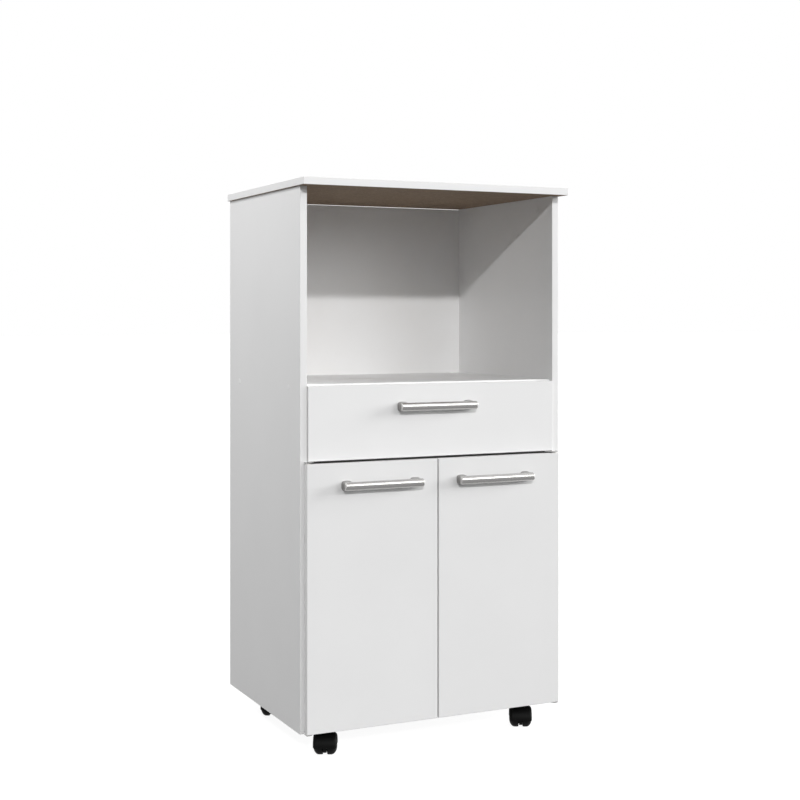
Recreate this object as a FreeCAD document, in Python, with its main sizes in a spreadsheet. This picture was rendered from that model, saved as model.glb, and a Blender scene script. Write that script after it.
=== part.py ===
import FreeCAD, Part
import os
import re
import Sketcher
from FreeCAD import Placement, Rotation, Vector

# Kitchen cabinet on casters: an open niche on top, one drawer and two hinged doors below.
# Frame: +Z up from the floor, -Y out of the front, X = 0 on the centre plane.
doc = FreeCAD.newDocument("KitchenCabinet")

# Driving sizes, in millimetres and degrees
SIZES = [
    ("overall_height", 1139, "floor to the upper face of the top"),
    ("top_width", 600, "top, side to side"),
    ("top_side_overhang", 5, "top past each side panel"),
    ("top_front_overhang", 32, "top past the front edges of the side panels"),
    ("carcass_depth", 428, "front edges of the side panels to the back"),
    ("board", 15, "chipboard thickness"),
    ("back_board", 3, "hardboard thickness"),
    ("edge_round", 1, "rounding of the edge banding"),
    ("fit", 0.1, "gap round a pressed or screwed piece, each side"),
    ("niche_height", 390, "clear height of the open niche"),
    ("shelf_front_gap", 1, "niche shelf behind the drawer front"),
    ("drawer_top_reveal", 3, "shelf edge that shows over the drawer front"),
    ("drawer_front_height", 148, "drawer front"),
    ("drawer_side_gap", 0.6, "drawer front to each side panel"),
    ("drawer_proud", 4, "drawer front past the front edges"),
    ("door_side_reveal", 8.5, "side edge that shows beside a door"),
    ("door_bottom_reveal", 1, "door above the bottom of the side panels"),
    ("front_gap", 3, "gap between the two doors"),
    ("drawer_door_gap", 4.5, "gap between the drawer front and the doors"),
    ("door_clearance", 1, "gap behind the doors"),
    ("rail_depth", 60, "rail under the drawer, front to back"),
    ("rail_drop", 2, "rail below the lower edge of the drawer front"),
    ("rail_setback", 6, "rail behind the front edges"),
    ("rail_cam_inset", 14, "cams behind the front edge of the rail"),
    ("rail_dowel_inset", 39, "dowels behind the front edge of the rail"),
    ("inner_shelf_setback", 20, "loose shelf behind the front edges"),
    ("inner_shelf_play", 1, "loose shelf to each side panel and to the back"),
    ("back_board_inset", 1, "back boards inside the outline of the carcass"),
    ("back_board_gap", 1, "between the two back boards"),
    ("shelf_pin_radius", 2.5, "shelf pin"),
    ("shelf_pin_reach", 10, "shelf pin out of the panel"),
    ("shelf_pin_depth", 9, "shelf pin in the panel"),
    ("shelf_pin_inset", 50, "shelf pins from the edges of the panel"),
    ("fitting_inset", 64, "cams and long screws from the edges of the panel"),
    ("dowel_inset", 37, "dowels from the edges of the panel"),
    ("dowel_radius", 4, "dowel of the cabinet"),
    ("dowel_length", 28, "dowel of the cabinet"),
    ("dowel_blind", 11, "dowel in the face of a board"),
    ("cam_radius", 7.5, "cam lock"),
    ("cam_height", 12.5, "cam lock"),
    ("cam_distance", 24, "cam centre from the joint"),
    ("cam_bolt_radius", 3, "cam bolt"),
    ("cam_bolt_blind", 10, "cam bolt in the face of a board"),
    ("long_screw_radius", 2.5, "assembly screw"),
    ("long_screw_length", 45, "assembly screw"),
    ("long_screw_head_radius", 4.5, "assembly screw"),
    ("long_screw_head_height", 3, "assembly screw"),
    ("cap_radius", 6, "stick-on screw cap"),
    ("cap_height", 0.6, "stick-on screw cap"),
    ("short_screw_radius", 1.75, "chipboard screw"),
    ("short_screw_length", 12, "chipboard screw"),
    ("middle_screw_length", 30, "chipboard screw of the drawer back"),
    ("short_screw_head_radius", 3.4, "chipboard screw"),
    ("short_screw_head_height", 1.5, "chipboard screw"),
    ("nail_radius", 0.8, "back panel nail"),
    ("nail_length", 15, "back panel nail"),
    ("nail_head_radius", 2, "back panel nail"),
    ("nail_head_height", 0.8, "back panel nail"),
    ("lower_nail_spaces", 5, "spaces between nails down each side of the lower back"),
    ("upper_nail_spaces", 4, "spaces between nails down each side of the upper back"),
    ("drawer_board", 12, "drawer sides and back"),
    ("drawer_length", 350, "drawer sides and runners"),
    ("drawer_side_height", 100, "drawer sides"),
    ("groove_rise", 13, "drawer bottom above the lower edge of the sides"),
    ("groove_depth", 5, "groove of the drawer bottom"),
    ("drawer_dowel_radius", 3, "dowel of the drawer"),
    ("drawer_dowel_length", 26, "dowel of the drawer"),
    ("drawer_dowel_inset", 30, "drawer dowels from the edges of the side"),
    ("runner_gap", 12.5, "side panel to drawer side"),
    ("runner_rise", 8, "runner above the rail"),
    ("runner_height", 30, "channel of the cabinet runner"),
    ("runner_steel", 1.2, "sheet of the runners"),
    ("runner_flange", 10, "flanges of the cabinet runner"),
    ("runner_setback", 4, "cabinet runner behind the drawer front"),
    ("runner_screw_inset", 60, "runner screws from the ends of the runner"),
    ("drawer_runner_lip", 8.3, "lip of the drawer runner over the roller"),
    ("drawer_runner_foot", 10, "foot of the drawer runner under the side"),
    ("roller_radius", 12, "runner roller"),
    ("roller_width", 6, "runner roller"),
    ("roller_inset", 14, "roller from the end of its runner"),
    ("roller_pin_radius", 2.5, "rivet that the roller turns on"),
    ("running_fit", 0.05, "play round a turning pin, each side"),
    ("rolling_gap", 0.3, "gap under a roller"),
    ("handle_length", 172, "handle, end to end"),
    ("handle_height", 17, "handle bar"),
    ("handle_depth", 10, "handle bar"),
    ("handle_reach", 25, "handle out of the front"),
    ("handle_round", 7.5, "front edges of the handle bar"),
    ("handle_foot_length", 22, "foot of the handle"),
    ("handle_foot_height", 20, "foot of the handle where it meets the front"),
    ("handle_drop", 44.5, "door handle centre below the door's upper edge"),
    ("handle_edge", 40.5, "door handle from the meeting edge of its door"),
    ("drawer_handle_drop", 45, "drawer handle centre below the upper edge"),
    ("machine_screw_radius", 2, "handle screw"),
    ("machine_screw_bite", 9, "handle screw in the foot"),
    ("machine_screw_head_radius", 4, "handle screw"),
    ("machine_screw_head_height", 2.5, "handle screw"),
    ("pivot_inset", 5, "door pivot from the outer edge of the door"),
    ("door_chamfer", 3, "outer rear edge of the door"),
    ("pivot_radius", 2, "door pivot pin"),
    ("pivot_length", 9, "door pivot pin in the door"),
    ("bush_radius", 4, "bush in the door's edge"),
    ("bush_depth", 10, "bush in the door's edge"),
    ("bush_collar_radius", 4.8, "collar of the bush"),
    ("bush_collar", 0.7, "collar of the bush"),
    ("hinge_steel", 1.5, "hinge plate"),
    ("hinge_nose", 13, "hinge plate in front of the front edges"),
    ("hinge_nose_wing", 4.5, "hinge plate round the pivot, side to side"),
    ("hinge_width", 17, "hinge plate behind the front edges"),
    ("hinge_length", 59, "hinge plate behind the front edges"),
    ("hinge_screw_first", 27, "hinge screws behind the front edges"),
    ("hinge_screw_spacing", 27, "hinge screws"),
    ("strike_width", 30, "strike plate"),
    ("strike_height", 12, "strike plate"),
    ("strike_steel", 1, "strike plate"),
    ("strike_edge", 26, "strike plate from the meeting edge of its door"),
    ("catch_width", 44, "magnetic catch"),
    ("catch_depth", 16, "magnetic catch"),
    ("catch_height", 13, "magnetic catch"),
    ("catch_gap", 0.4, "magnetic catch to the strike plate"),
    ("caster_height", 50, "floor to the bottom of the cabinet"),
    ("caster_side_inset", 72, "caster pin from the outer face of the side panel"),
    ("caster_front_inset", 39, "caster pin behind the front edges"),
    ("caster_back_inset", 86, "caster pin in front of the back"),
    ("caster_turn", -27, "casters at rest, turned about their pins"),
    ("caster_plate_side", 42, "square plate of the caster"),
    ("caster_plate_steel", 2.5, "square plate of the caster"),
    ("caster_plate_spacing", 31, "screws of the caster plate"),
    ("caster_pin_radius", 3.5, "upright pin of the caster"),
    ("caster_pin_low", 21, "upright pin of the caster, lower end"),
    ("caster_boss_radius", 5.5, "boss round the upright pin"),
    ("caster_boss_low", 16, "boss round the upright pin, lower end"),
    ("caster_boss_gap", 0.5, "boss to the wheels"),
    ("caster_hood_gap", 0.6, "hood below the plate"),
    ("wheel_radius", 20, "caster wheel"),
    ("wheel_width", 18, "caster wheel"),
    ("wheel_gap", 11, "between the two wheels"),
    ("wheel_round", 4.5, "tread edges of the wheel"),
    ("wheel_dish", 2, "recess in the outer face of the wheel"),
    ("wheel_rim", 6, "rim round the recess of the wheel"),
    ("wheel_bore", 11, "bore of the wheel"),
    ("hood_gap", 1.2, "hood over the wheels"),
    ("hood_wall", 2, "hood"),
    ("hood_web", 9, "web between the wheels"),
    ("hood_web_low", 14, "web below the axle"),
    ("cut_margin", 1, "cuts that trim the hood, past its outside"),
    ("axle_radius", 2, "wheel axle"),
    ("axle_reach", 10.5, "wheel axle in the wheel"),
]

sheet = doc.addObject("Spreadsheet::Sheet", "Sizes")
for row, (name, size, meaning) in enumerate(SIZES, 1):
    sheet.set("A%d" % row, name)
    sheet.set("B%d" % row, str(size))
    sheet.set("C%d" % row, meaning)
    sheet.setAlias("B%d" % row, name)
doc.recompute()

# Places that follow from the driving sizes
FORMULAS = {
    "half_carcass": "top_width / 2 - top_side_overhang",
    "inner_half": "half_carcass - board",
    "front_plane": "-(carcass_depth - door_clearance - board - handle_reach) / 2",
    "back_plane": "front_plane + carcass_depth",
    "board_depth": "carcass_depth - back_board",
    "board_back": "front_plane + board_depth",
    "carcass_top": "overall_height - board",
    "niche_floor": "carcass_top - niche_height",
    "shelf_bottom": "niche_floor - board",
    "shelf_middle": "niche_floor - board / 2",
    "shelf_front": "drawer_front_back + shelf_front_gap",
    "drawer_top": "niche_floor - drawer_top_reveal",
    "drawer_low": "drawer_top - drawer_front_height",
    "drawer_face": "front_plane - drawer_proud",
    "drawer_front_back": "drawer_face + board",
    "drawer_half": "inner_half - drawer_side_gap",
    "door_top": "drawer_low - drawer_door_gap",
    "door_low": "caster_height + door_bottom_reveal",
    "door_height": "door_top - door_low",
    "door_outer": "half_carcass - door_side_reveal",
    "door_width": "door_outer - front_gap / 2",
    "door_back": "front_plane - door_clearance",
    "door_face": "door_back - board",
    "rail_top": "drawer_low - rail_drop",
    "rail_low": "rail_top - board",
    "rail_middle": "rail_top - board / 2",
    "floor_top": "caster_height + board",
    "floor_middle": "caster_height + board / 2",
    "inner_shelf_low": "(floor_top + rail_low - board) / 2",
    "inner_shelf_front": "front_plane + inner_shelf_setback",
    "inner_shelf_half": "inner_half - inner_shelf_play",
    "shelf_pin_z": "inner_shelf_low - shelf_pin_radius",
    "fitting_front": "front_plane + fitting_inset",
    "fitting_back": "board_back - fitting_inset",
    "dowel_front": "front_plane + dowel_inset",
    "dowel_back": "board_back - dowel_inset",
    "rail_front": "front_plane + rail_setback",
    "rail_cam_y": "rail_front + rail_cam_inset",
    "rail_dowel_y": "rail_front + rail_dowel_inset",
    "side_middle": "half_carcass - board / 2",
    "cam_x": "inner_half - cam_distance",
    "cam_z": "carcass_top - cam_distance",
    "bolt_reach": "cam_distance - cam_radius - fit",
    "pin_front": "front_plane + shelf_pin_inset",
    "pin_back": "board_back - shelf_pin_inset",
    "back_low": "caster_height + back_board_inset",
    "back_top": "carcass_top - back_board_inset",
    "back_half": "half_carcass - back_board_inset",
    "lower_nail_step": "(shelf_middle - floor_middle) / lower_nail_spaces",
    "upper_nail_step": "(back_top - shelf_middle) / upper_nail_spaces",
    "runner_low": "rail_top + runner_rise",
    "runner_front": "drawer_front_back + runner_setback",
    "runner_back": "runner_front + drawer_length",
    "runner_middle": "runner_low + runner_height / 2",
    "lip_low": "runner_low + runner_steel + 3 * rolling_gap + 2 * roller_radius",
    "foot_low": "runner_low + 2 * runner_steel + rolling_gap",
    "box_low": "foot_low + runner_steel",
    "box_half": "inner_half - runner_gap",
    "box_inner": "box_half - drawer_board",
    "box_middle": "box_half - drawer_board / 2",
    "box_back": "drawer_front_back + drawer_length",
    "box_top": "box_low + drawer_side_height",
    "groove_low": "box_low + groove_rise",
    "drawer_back_low": "groove_low + back_board + fit",
    "roller_x": "inner_half - runner_gap / 2",
    "cabinet_roller_y": "runner_front + roller_inset",
    "cabinet_roller_z": "lip_low - rolling_gap - roller_radius",
    "drawer_roller_y": "box_back - roller_inset",
    "drawer_roller_z": "runner_low + runner_steel + rolling_gap + roller_radius",
    "handle_hole": "(handle_length - handle_foot_length) / 2",
    "handle_stand": "handle_reach - handle_depth",
    "door_handle_x": "front_gap / 2 + handle_edge + handle_length / 2",
    "door_handle_z": "door_top - handle_drop",
    "drawer_handle_z": "drawer_top - drawer_handle_drop",
    "pivot_x": "door_outer - pivot_inset",
    "pivot_y": "door_back - board / 2",
    "hinge_x": "inner_half - fit - hinge_width",
    "hinge_screw_x": "hinge_x + hinge_width / 2",
    "strike_x": "front_gap / 2 + strike_edge",
    "strike_z": "rail_low - catch_height / 2",
    "catch_front": "door_back + strike_steel + catch_gap",
    "caster_x": "half_carcass - caster_side_inset",
    "caster_front_y": "front_plane + caster_front_inset",
    "caster_back_y": "back_plane - caster_back_inset",
    "plate_low": "caster_height - caster_plate_steel",
    "caster_trail": "wheel_radius + caster_boss_gap + caster_boss_radius",
    "wheel_dish_radius": "wheel_radius - wheel_rim",
    "hood_inner": "wheel_radius + hood_gap",
    "hood_outer": "hood_inner + hood_wall",
    "hood_half": "wheel_gap / 2 + wheel_width",
    "hood_top": "plate_low - caster_hood_gap",
}
ALIASES = set(name for name, size, meaning in SIZES)


def sized(text):
    """An expression in which each name of a size or place is written out with the sheet's cells."""
    def swap(match):
        word = match.group(0)
        if word in FORMULAS:
            return "(" + sized(FORMULAS[word]) + ")"
        if word in ALIASES:
            return "Sizes." + word
        return word
    return re.sub(r"[a-z_]+", swap, str(text))


def number(text):
    """The value of an expression, in millimetres or degrees."""
    return float(sheet.evalExpression(sized(text)))


def minus(first, second):
    """The expression of a difference."""
    return "(%s) - (%s)" % (first, second)


# Planes of a body: role, sign of its normal along the axis
PLANES = {"X": ("YZ_Plane", 1), "Y": ("XZ_Plane", -1), "Z": ("XY_Plane", 1)}

# An edge nearer than this to a plane lies in it, and one longer than this is a long edge
TOUCH = 0.01
LONG_EDGE = 100

# The origin of each body, the nodes to be written, and every cut with the shape before it
corners = {}
nodes = []
cuts = []


def new_body(label, corner=None):
    """An empty body whose own origin lies at the corner, three expressions."""
    body = doc.addObject("PartDesign::Body", label)
    body.Label = label
    corners[body.Name] = corner or ("0", "0", "0")
    for axis, place in zip("xyz", corners[body.Name]):
        body.setExpression(".Placement.Base." + axis, sized(place))
    return body


def plane_sketch(body, axis, level, name):
    """A sketch square to an axis, at a level along it in the body's own frame."""
    role, sign = PLANES[axis]
    sketch = body.newObject("Sketcher::SketchObject", name)
    origin_plane = [item for item in body.Origin.OriginFeatures if item.Role == role][0]
    sketch.AttachmentSupport = [(origin_plane, "")]
    sketch.MapMode = "FlatFace"
    sketch.setExpression(".AttachmentOffset.Base.z", "%d * (%s)" % (sign, sized(level)))
    return sketch


def pin_point(sketch, geometry, end, x, y):
    """Holds a point of the sketch at two expressions from the sketch's origin."""
    for text, kind, axis in ((x, "DistanceX", -2), (y, "DistanceY", -1)):
        if text == "0":
            sketch.addConstraint(Sketcher.Constraint("PointOnObject", geometry, end, axis))
        else:
            rule = Sketcher.Constraint(kind, -1, 1, geometry, end, number(text))
            index = sketch.addConstraint(rule)
            sketch.setExpression("Constraints[%d]" % index, sized(text))


def polygon(sketch, points):
    """A closed outline of straight lines through points given as expressions."""
    spots = [Vector(number(x), number(y), 0) for x, y in points]
    lines = [sketch.addGeometry(Part.LineSegment(spots[i - 1], spots[i])) for i in range(len(spots))]
    for i, line in enumerate(lines):
        following = lines[(i + 1) % len(lines)]
        sketch.addConstraint(Sketcher.Constraint("Coincident", line, 2, following, 1))
    for line, (x, y) in zip(lines, points):
        pin_point(sketch, line, 2, x, y)


def circle(sketch, x, y, radius):
    """A circle whose centre and radius are expressions."""
    centre = Vector(number(x), number(y), 0)
    index = sketch.addGeometry(Part.Circle(centre, Vector(0, 0, 1), number(radius)))
    rule = sketch.addConstraint(Sketcher.Constraint("Radius", index, number(radius)))
    sketch.setExpression("Constraints[%d]" % rule, sized(radius))
    pin_point(sketch, index, 3, x, y)


def pad(body, sketch, length, towards=1, axis="Z"):
    """Pads a sketch along the axis it is square to, towards its high or low side."""
    feature = body.newObject("PartDesign::Pad", "Pad")
    feature.Profile = sketch
    feature.Reversed = towards * PLANES[axis][1] < 0
    feature.setExpression("Length", sized(length))


def pocket(body, sketch, length, towards, axis):
    """Cuts a sketch along the axis it is square to, towards its high or low side."""
    before = body.Tip
    feature = body.newObject("PartDesign::Pocket", "Pocket")
    feature.Profile = sketch
    feature.Reversed = towards * PLANES[axis][1] > 0
    feature.setExpression("Length", sized(length))
    cuts.append((body, before, feature))


def local(body, axis, point):
    """A place of the whole cabinet in the two coordinates of a sketch square to an axis."""
    picked = [i for i in range(3) if "XYZ"[i] != axis]
    return [minus(point[i], corners[body.Name][i]) for i in picked]


def drill(body, axis, level, towards, points, radius, depth):
    """Round holes square to an axis. The level and the points are places of the whole cabinet."""
    index = "XYZ".index(axis)
    sketch = plane_sketch(body, axis, minus(level, corners[body.Name][index]), "Holes")
    for point in points:
        x, y = local(body, axis, point)
        circle(sketch, x, y, radius)
    pocket(body, sketch, depth, towards, axis)


def board(label, corner, width, depth, height):
    """A rectangular board from its low corner."""
    body = new_body(label, corner)
    sketch = plane_sketch(body, "Z", "0", "Outline")
    polygon(sketch, [("0", "0"), (width, "0"), (width, depth), ("0", depth)])
    pad(body, sketch, height)
    nodes.append(body)
    return body


def round_edges(body, radius, wanted):
    """Fillets the edges of the body's last feature whose middle passes the test."""
    doc.recompute()
    last = body.Tip
    names = ["Edge%d" % (i + 1) for i, edge in enumerate(last.Shape.Edges) if wanted(edge)]
    fillet = body.newObject("PartDesign::Fillet", "Rounding")
    fillet.Base = (last, names)
    fillet.setExpression("Radius", sized(radius))


def near(value, text):
    """Whether a coordinate of a shape lies at the place that an expression gives."""
    return abs(value - number(text)) < TOUCH


def turned(label, profile):
    """A turned piece: a profile of (radius, height) points, spun about its upright axis."""
    body = new_body(label)
    sketch = plane_sketch(body, "Y", "0", "Profile")
    polygon(sketch, profile)
    spin = body.newObject("PartDesign::Revolution", "Spin")
    spin.Profile = sketch
    spin.ReferenceAxis = (sketch, ["V_Axis"])
    spin.Angle = 360
    return body


def screw_profile(radius, length, head_radius, head_height):
    """Half the outline of a screw that points up, its head's underside at height 0."""
    below = "-" + head_height
    return [("0", below), (head_radius, below), (head_radius, "0"), (radius, "0"),
            (radius, length), ("0", length)]


def group(label, copies):
    """Copies of pieces as one node. A copy is (piece, three expressions, rotation)."""
    links = []
    for piece, point, rotation in copies:
        link = doc.addObject("App::Link", "Copy")
        link.setLink(piece)
        link.LinkPlacement = Placement(Vector(0, 0, 0), rotation)
        for axis, place in zip("xyz", point):
            link.setExpression(".LinkPlacement.Base." + axis, sized(place))
        links.append(link)
    compound = doc.addObject("Part::Compound", label)
    compound.Label = label
    compound.Links = links
    nodes.append(compound)


DIRECTIONS = {"+X": (1, 0, 0), "-X": (-1, 0, 0), "+Y": (0, 1, 0), "-Y": (0, -1, 0),
              "+Z": (0, 0, 1), "-Z": (0, 0, -1)}


def driven(piece, direction, points):
    """Copies of an upright piece that all point one way, for a group."""
    rotation = Rotation(Vector(0, 0, 1), Vector(*DIRECTIONS[direction]))
    return [(piece, point, rotation) for point in points]


def mirrored(label, source):
    """The same piece on the other side of the centre plane."""
    twin = doc.addObject("Part::Mirroring", label)
    twin.Label = label
    twin.Source = source
    twin.Base = Vector(0, 0, 0)
    twin.Normal = Vector(1, 0, 0)
    nodes.append(twin)


def grid(*choices):
    """Every point with one coordinate out of each of three lists."""
    xs, ys, zs = choices
    return [(x, y, z) for x in xs for y in ys for z in zs]


# Fasteners, upright, each made once and then copied
long_screw = turned("Long screw", screw_profile(
    "long_screw_radius", "long_screw_length", "long_screw_head_radius", "long_screw_head_height"))
short_screw = turned("Short screw", screw_profile(
    "short_screw_radius", "short_screw_length", "short_screw_head_radius", "short_screw_head_height"))
middle_screw = turned("Middle screw", screw_profile(
    "short_screw_radius", "middle_screw_length", "short_screw_head_radius", "short_screw_head_height"))
nail = turned("Nail", screw_profile(
    "nail_radius", "nail_length", "nail_head_radius", "nail_head_height"))
machine_screw = turned("Machine screw", screw_profile(
    "machine_screw_radius", "board + machine_screw_bite",
    "machine_screw_head_radius", "machine_screw_head_height"))


def rod(label, radius, low, high):
    """A plain upright rod."""
    return turned(label, [("0", low), (radius, low), (radius, high), ("0", high)])


dowel = rod("Dowel", "dowel_radius", "-dowel_blind", "dowel_length - dowel_blind")
drawer_dowel = rod("Drawer dowel", "drawer_dowel_radius", "-dowel_blind",
                   "drawer_dowel_length - dowel_blind")
cam_bolt = rod("Cam bolt", "cam_bolt_radius", "-cam_bolt_blind", "bolt_reach")
cam_lock = rod("Cam lock", "cam_radius", "0", "cam_height")
cap = rod("Screw cap", "cap_radius", "0", "cap_height")
shelf_pin = rod("Shelf pin", "shelf_pin_radius", "-shelf_pin_depth", "shelf_pin_reach")

# Where the fasteners of the carcass sit on the left side; the right side mirrors them
fitting_ys = ["fitting_front", "fitting_back"]
dowel_ys = ["dowel_front", "dowel_back"]
shelf_screws = grid(["-half_carcass"], fitting_ys, ["shelf_middle"])
floor_bolts = grid(["-inner_half"], fitting_ys, ["floor_middle"])
floor_dowels = grid(["-inner_half"], dowel_ys, ["floor_middle"])
rail_bolts = [("-inner_half", "rail_cam_y", "rail_middle")]
rail_dowels = [("-inner_half", "rail_dowel_y", "rail_middle")]
top_bolts = grid(["-side_middle", "side_middle"], fitting_ys, ["carcass_top"])
top_dowels = grid(["-side_middle", "side_middle"], dowel_ys, ["carcass_top"])
pins = grid(["-inner_half"], ["pin_front", "pin_back"], ["shelf_pin_z"])
lower_spaces = int(number("lower_nail_spaces"))
upper_spaces = int(number("upper_nail_spaces"))
side_nail_zs = (["floor_middle + %d * lower_nail_step" % i for i in range(lower_spaces)]
                + ["shelf_middle + %d * upper_nail_step" % i for i in range(1, upper_spaces)]
                + ["back_top - board"])
side_nails = grid(["-side_middle", "side_middle"], ["board_back"], side_nail_zs)
across = ["-inner_half / 2", "0", "inner_half / 2"]
shelf_nails = (grid(across, ["board_back"], ["shelf_middle - nail_head_radius * 2"])
               + grid(across, ["board_back"], ["shelf_middle + nail_head_radius * 2"]))
floor_nails = grid(across, ["board_back"], ["floor_middle"])
runner_screw_ys = ["runner_front + runner_screw_inset", "runner_back - runner_screw_inset"]
runner_screws = grid(["-inner_half"], runner_screw_ys, ["runner_middle"])
hinge_screw_ys = ["front_plane + hinge_screw_first",
                  "front_plane + hinge_screw_first + hinge_screw_spacing"]
half_plate = "caster_plate_spacing / 2"
caster_xs = ["caster_x * %d %s %s" % (side, sign, half_plate) for side in (-1, 1) for sign in "+-"]
caster_ys = ["caster_%s_y %s %s" % (end, sign, half_plate) for end in ("front", "back") for sign in "+-"]
caster_screws = grid(caster_xs, caster_ys, ["caster_height"])

# Left side panel: one full-height board with the bores of all its fittings
panel = board("side_panel_left", ("-half_carcass", "front_plane", "caster_height"),
              "board", "board_depth", "carcass_top - caster_height")
round_edges(panel, "edge_round",
            lambda edge: edge.BoundBox.YMax < TOUCH and edge.BoundBox.ZLength > LONG_EDGE)
drill(panel, "X", "-half_carcass", 1, shelf_screws, "long_screw_radius + fit", "board")
drill(panel, "X", "-half_carcass", 1, shelf_screws, "long_screw_head_radius + fit",
      "long_screw_head_height")
drill(panel, "X", "-inner_half", -1, floor_bolts + rail_bolts, "cam_bolt_radius + fit",
      "cam_bolt_blind + fit")
drill(panel, "X", "-inner_half", -1, floor_dowels + rail_dowels, "dowel_radius + fit",
      "dowel_blind + fit")
drill(panel, "X", "-inner_half", -1, pins, "shelf_pin_radius + fit", "shelf_pin_depth + fit")
drill(panel, "X", "-inner_half", -1, runner_screws, "short_screw_radius + fit",
      "short_screw_length - runner_steel + fit")
left_top = [point for point in top_bolts + top_dowels if point[0].startswith("-")]
drill(panel, "Z", "carcass_top", -1, left_top[:2], "cam_bolt_radius + fit", "bolt_reach + fit")
drill(panel, "Z", "carcass_top", -1, left_top[2:], "dowel_radius + fit",
      "dowel_length - dowel_blind + fit")
drill(panel, "X", "-inner_half", -1, grid(["-inner_half"], fitting_ys, ["cam_z"]),
      "cam_radius + fit", "cam_height + fit")
left_nails = [point for point in side_nails if point[0].startswith("-")]
drill(panel, "Y", "board_back", -1, left_nails, "nail_radius + fit", "nail_length")
mirrored("side_panel_right", panel)

# Top: overhangs the front and the sides, and covers the upper edge of the back
top = board("top_panel", ("-top_width / 2", "front_plane - top_front_overhang", "carcass_top"),
            "top_width", "carcass_depth + top_front_overhang", "board")
round_edges(top, "edge_round", lambda edge: True)
drill(top, "Z", "carcass_top", 1, top_bolts, "cam_bolt_radius + fit", "cam_bolt_blind + fit")
drill(top, "Z", "carcass_top", 1, top_dowels, "dowel_radius + fit", "dowel_blind + fit")

# Floor of the niche, set back so that the drawer front closes in front of it
shelf = board("niche_shelf", ("-inner_half", "shelf_front", "shelf_bottom"),
              "2 * inner_half", "board_back - shelf_front", "board")
for side, sign in ((1, "-"), (-1, "")):
    ends = [(sign + "inner_half", y, "shelf_middle") for y in fitting_ys]
    drill(shelf, "X", sign + "inner_half", side, ends, "long_screw_radius + fit",
          "long_screw_length + long_screw_head_height - board + fit")
drill(shelf, "Y", "board_back", -1, shelf_nails, "nail_radius + fit", "nail_length")


def cam_board(label, corner, depth, cam_ys, dowel_ys, cam_face):
    """A board between the side panels with cams in its underside and dowels in its ends."""
    body = board(label, corner, "2 * inner_half", depth, "board")
    for side, sign in ((1, "-"), (-1, "")):
        end = sign + "inner_half"
        height = cam_face + " + board / 2"
        drill(body, "X", end, side, [(end, y, height) for y in cam_ys],
              "cam_bolt_radius + fit", "bolt_reach + fit")
        drill(body, "X", end, side, [(end, y, height) for y in dowel_ys],
              "dowel_radius + fit", "dowel_length - dowel_blind + fit")
        drill(body, "Z", cam_face, 1, [(sign + "cam_x", y, cam_face) for y in cam_ys],
              "cam_radius + fit", "cam_height + fit")
    return body


hinge_screws = grid(["-hinge_screw_x", "hinge_screw_x"], hinge_screw_ys, ["rail_top"])
screw_bite = "short_screw_length - hinge_steel + fit"

# Rail between the drawer and the doors
rail = cam_board("drawer_rail", ("-inner_half", "rail_front", "rail_low"), "rail_depth",
                 ["rail_cam_y"], ["rail_dowel_y"], "rail_low")
drill(rail, "Z", "rail_top", -1, hinge_screws, "short_screw_radius + fit", screw_bite)

# Bottom, with the casters and the lower hinge plates screwed to its underside
floor = cam_board("bottom_panel", ("-inner_half", "front_plane", "caster_height"), "board_depth",
                  fitting_ys, dowel_ys, "caster_height")
drill(floor, "Z", "caster_height", 1, caster_screws, "short_screw_radius + fit",
      "short_screw_length - caster_plate_steel + fit")
drill(floor, "Z", "caster_height", 1, hinge_screws, "short_screw_radius + fit", screw_bite)
drill(floor, "Y", "board_back", -1, floor_nails, "nail_radius + fit", "nail_length")

# Two hardboard backs that meet behind the niche floor, with the nail heads sunk into them
lower_nails = ([point for point in side_nails if side_nail_zs.index(point[2]) < lower_spaces]
               + shelf_nails[:3] + floor_nails)
upper_nails = ([point for point in side_nails if side_nail_zs.index(point[2]) >= lower_spaces]
               + shelf_nails[3:])
for label, low, high, nails in (
        ("back_panel_lower", "back_low", "shelf_middle - back_board_gap / 2", lower_nails),
        ("back_panel_upper", "shelf_middle + back_board_gap / 2", "back_top", upper_nails)):
    back = board(label, ("-back_half", "board_back", low), "2 * back_half", "back_board",
                 minus(high, low))
    drill(back, "Y", "board_back", 1, nails, "nail_radius + fit", "back_board")
    drill(back, "Y", "back_plane", -1, nails, "nail_head_radius + fit", "nail_head_height")

# Loose shelf behind the doors, lying on four pins
board("inner_shelf", ("-inner_shelf_half", "inner_shelf_front", "inner_shelf_low"),
      "2 * inner_shelf_half", "board_back - inner_shelf_play - inner_shelf_front", "board")
pin_right = [("inner_half", y, z) for x, y, z in pins]
group("shelf_pins", driven(shelf_pin, "+X", pins) + driven(shelf_pin, "-X", pin_right))


def outward(points):
    """Points on the left with their twins on the right."""
    return [points, [("-(%s)" % x, y, z) for x, y, z in points]]


def into_sides(piece, points, inwards):
    """Copies that start at points on the left and point inwards or outwards, with their twins."""
    left, right = outward(points)
    first, second = ("+X", "-X") if inwards else ("-X", "+X")
    return driven(piece, first, left) + driven(piece, second, right)


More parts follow.
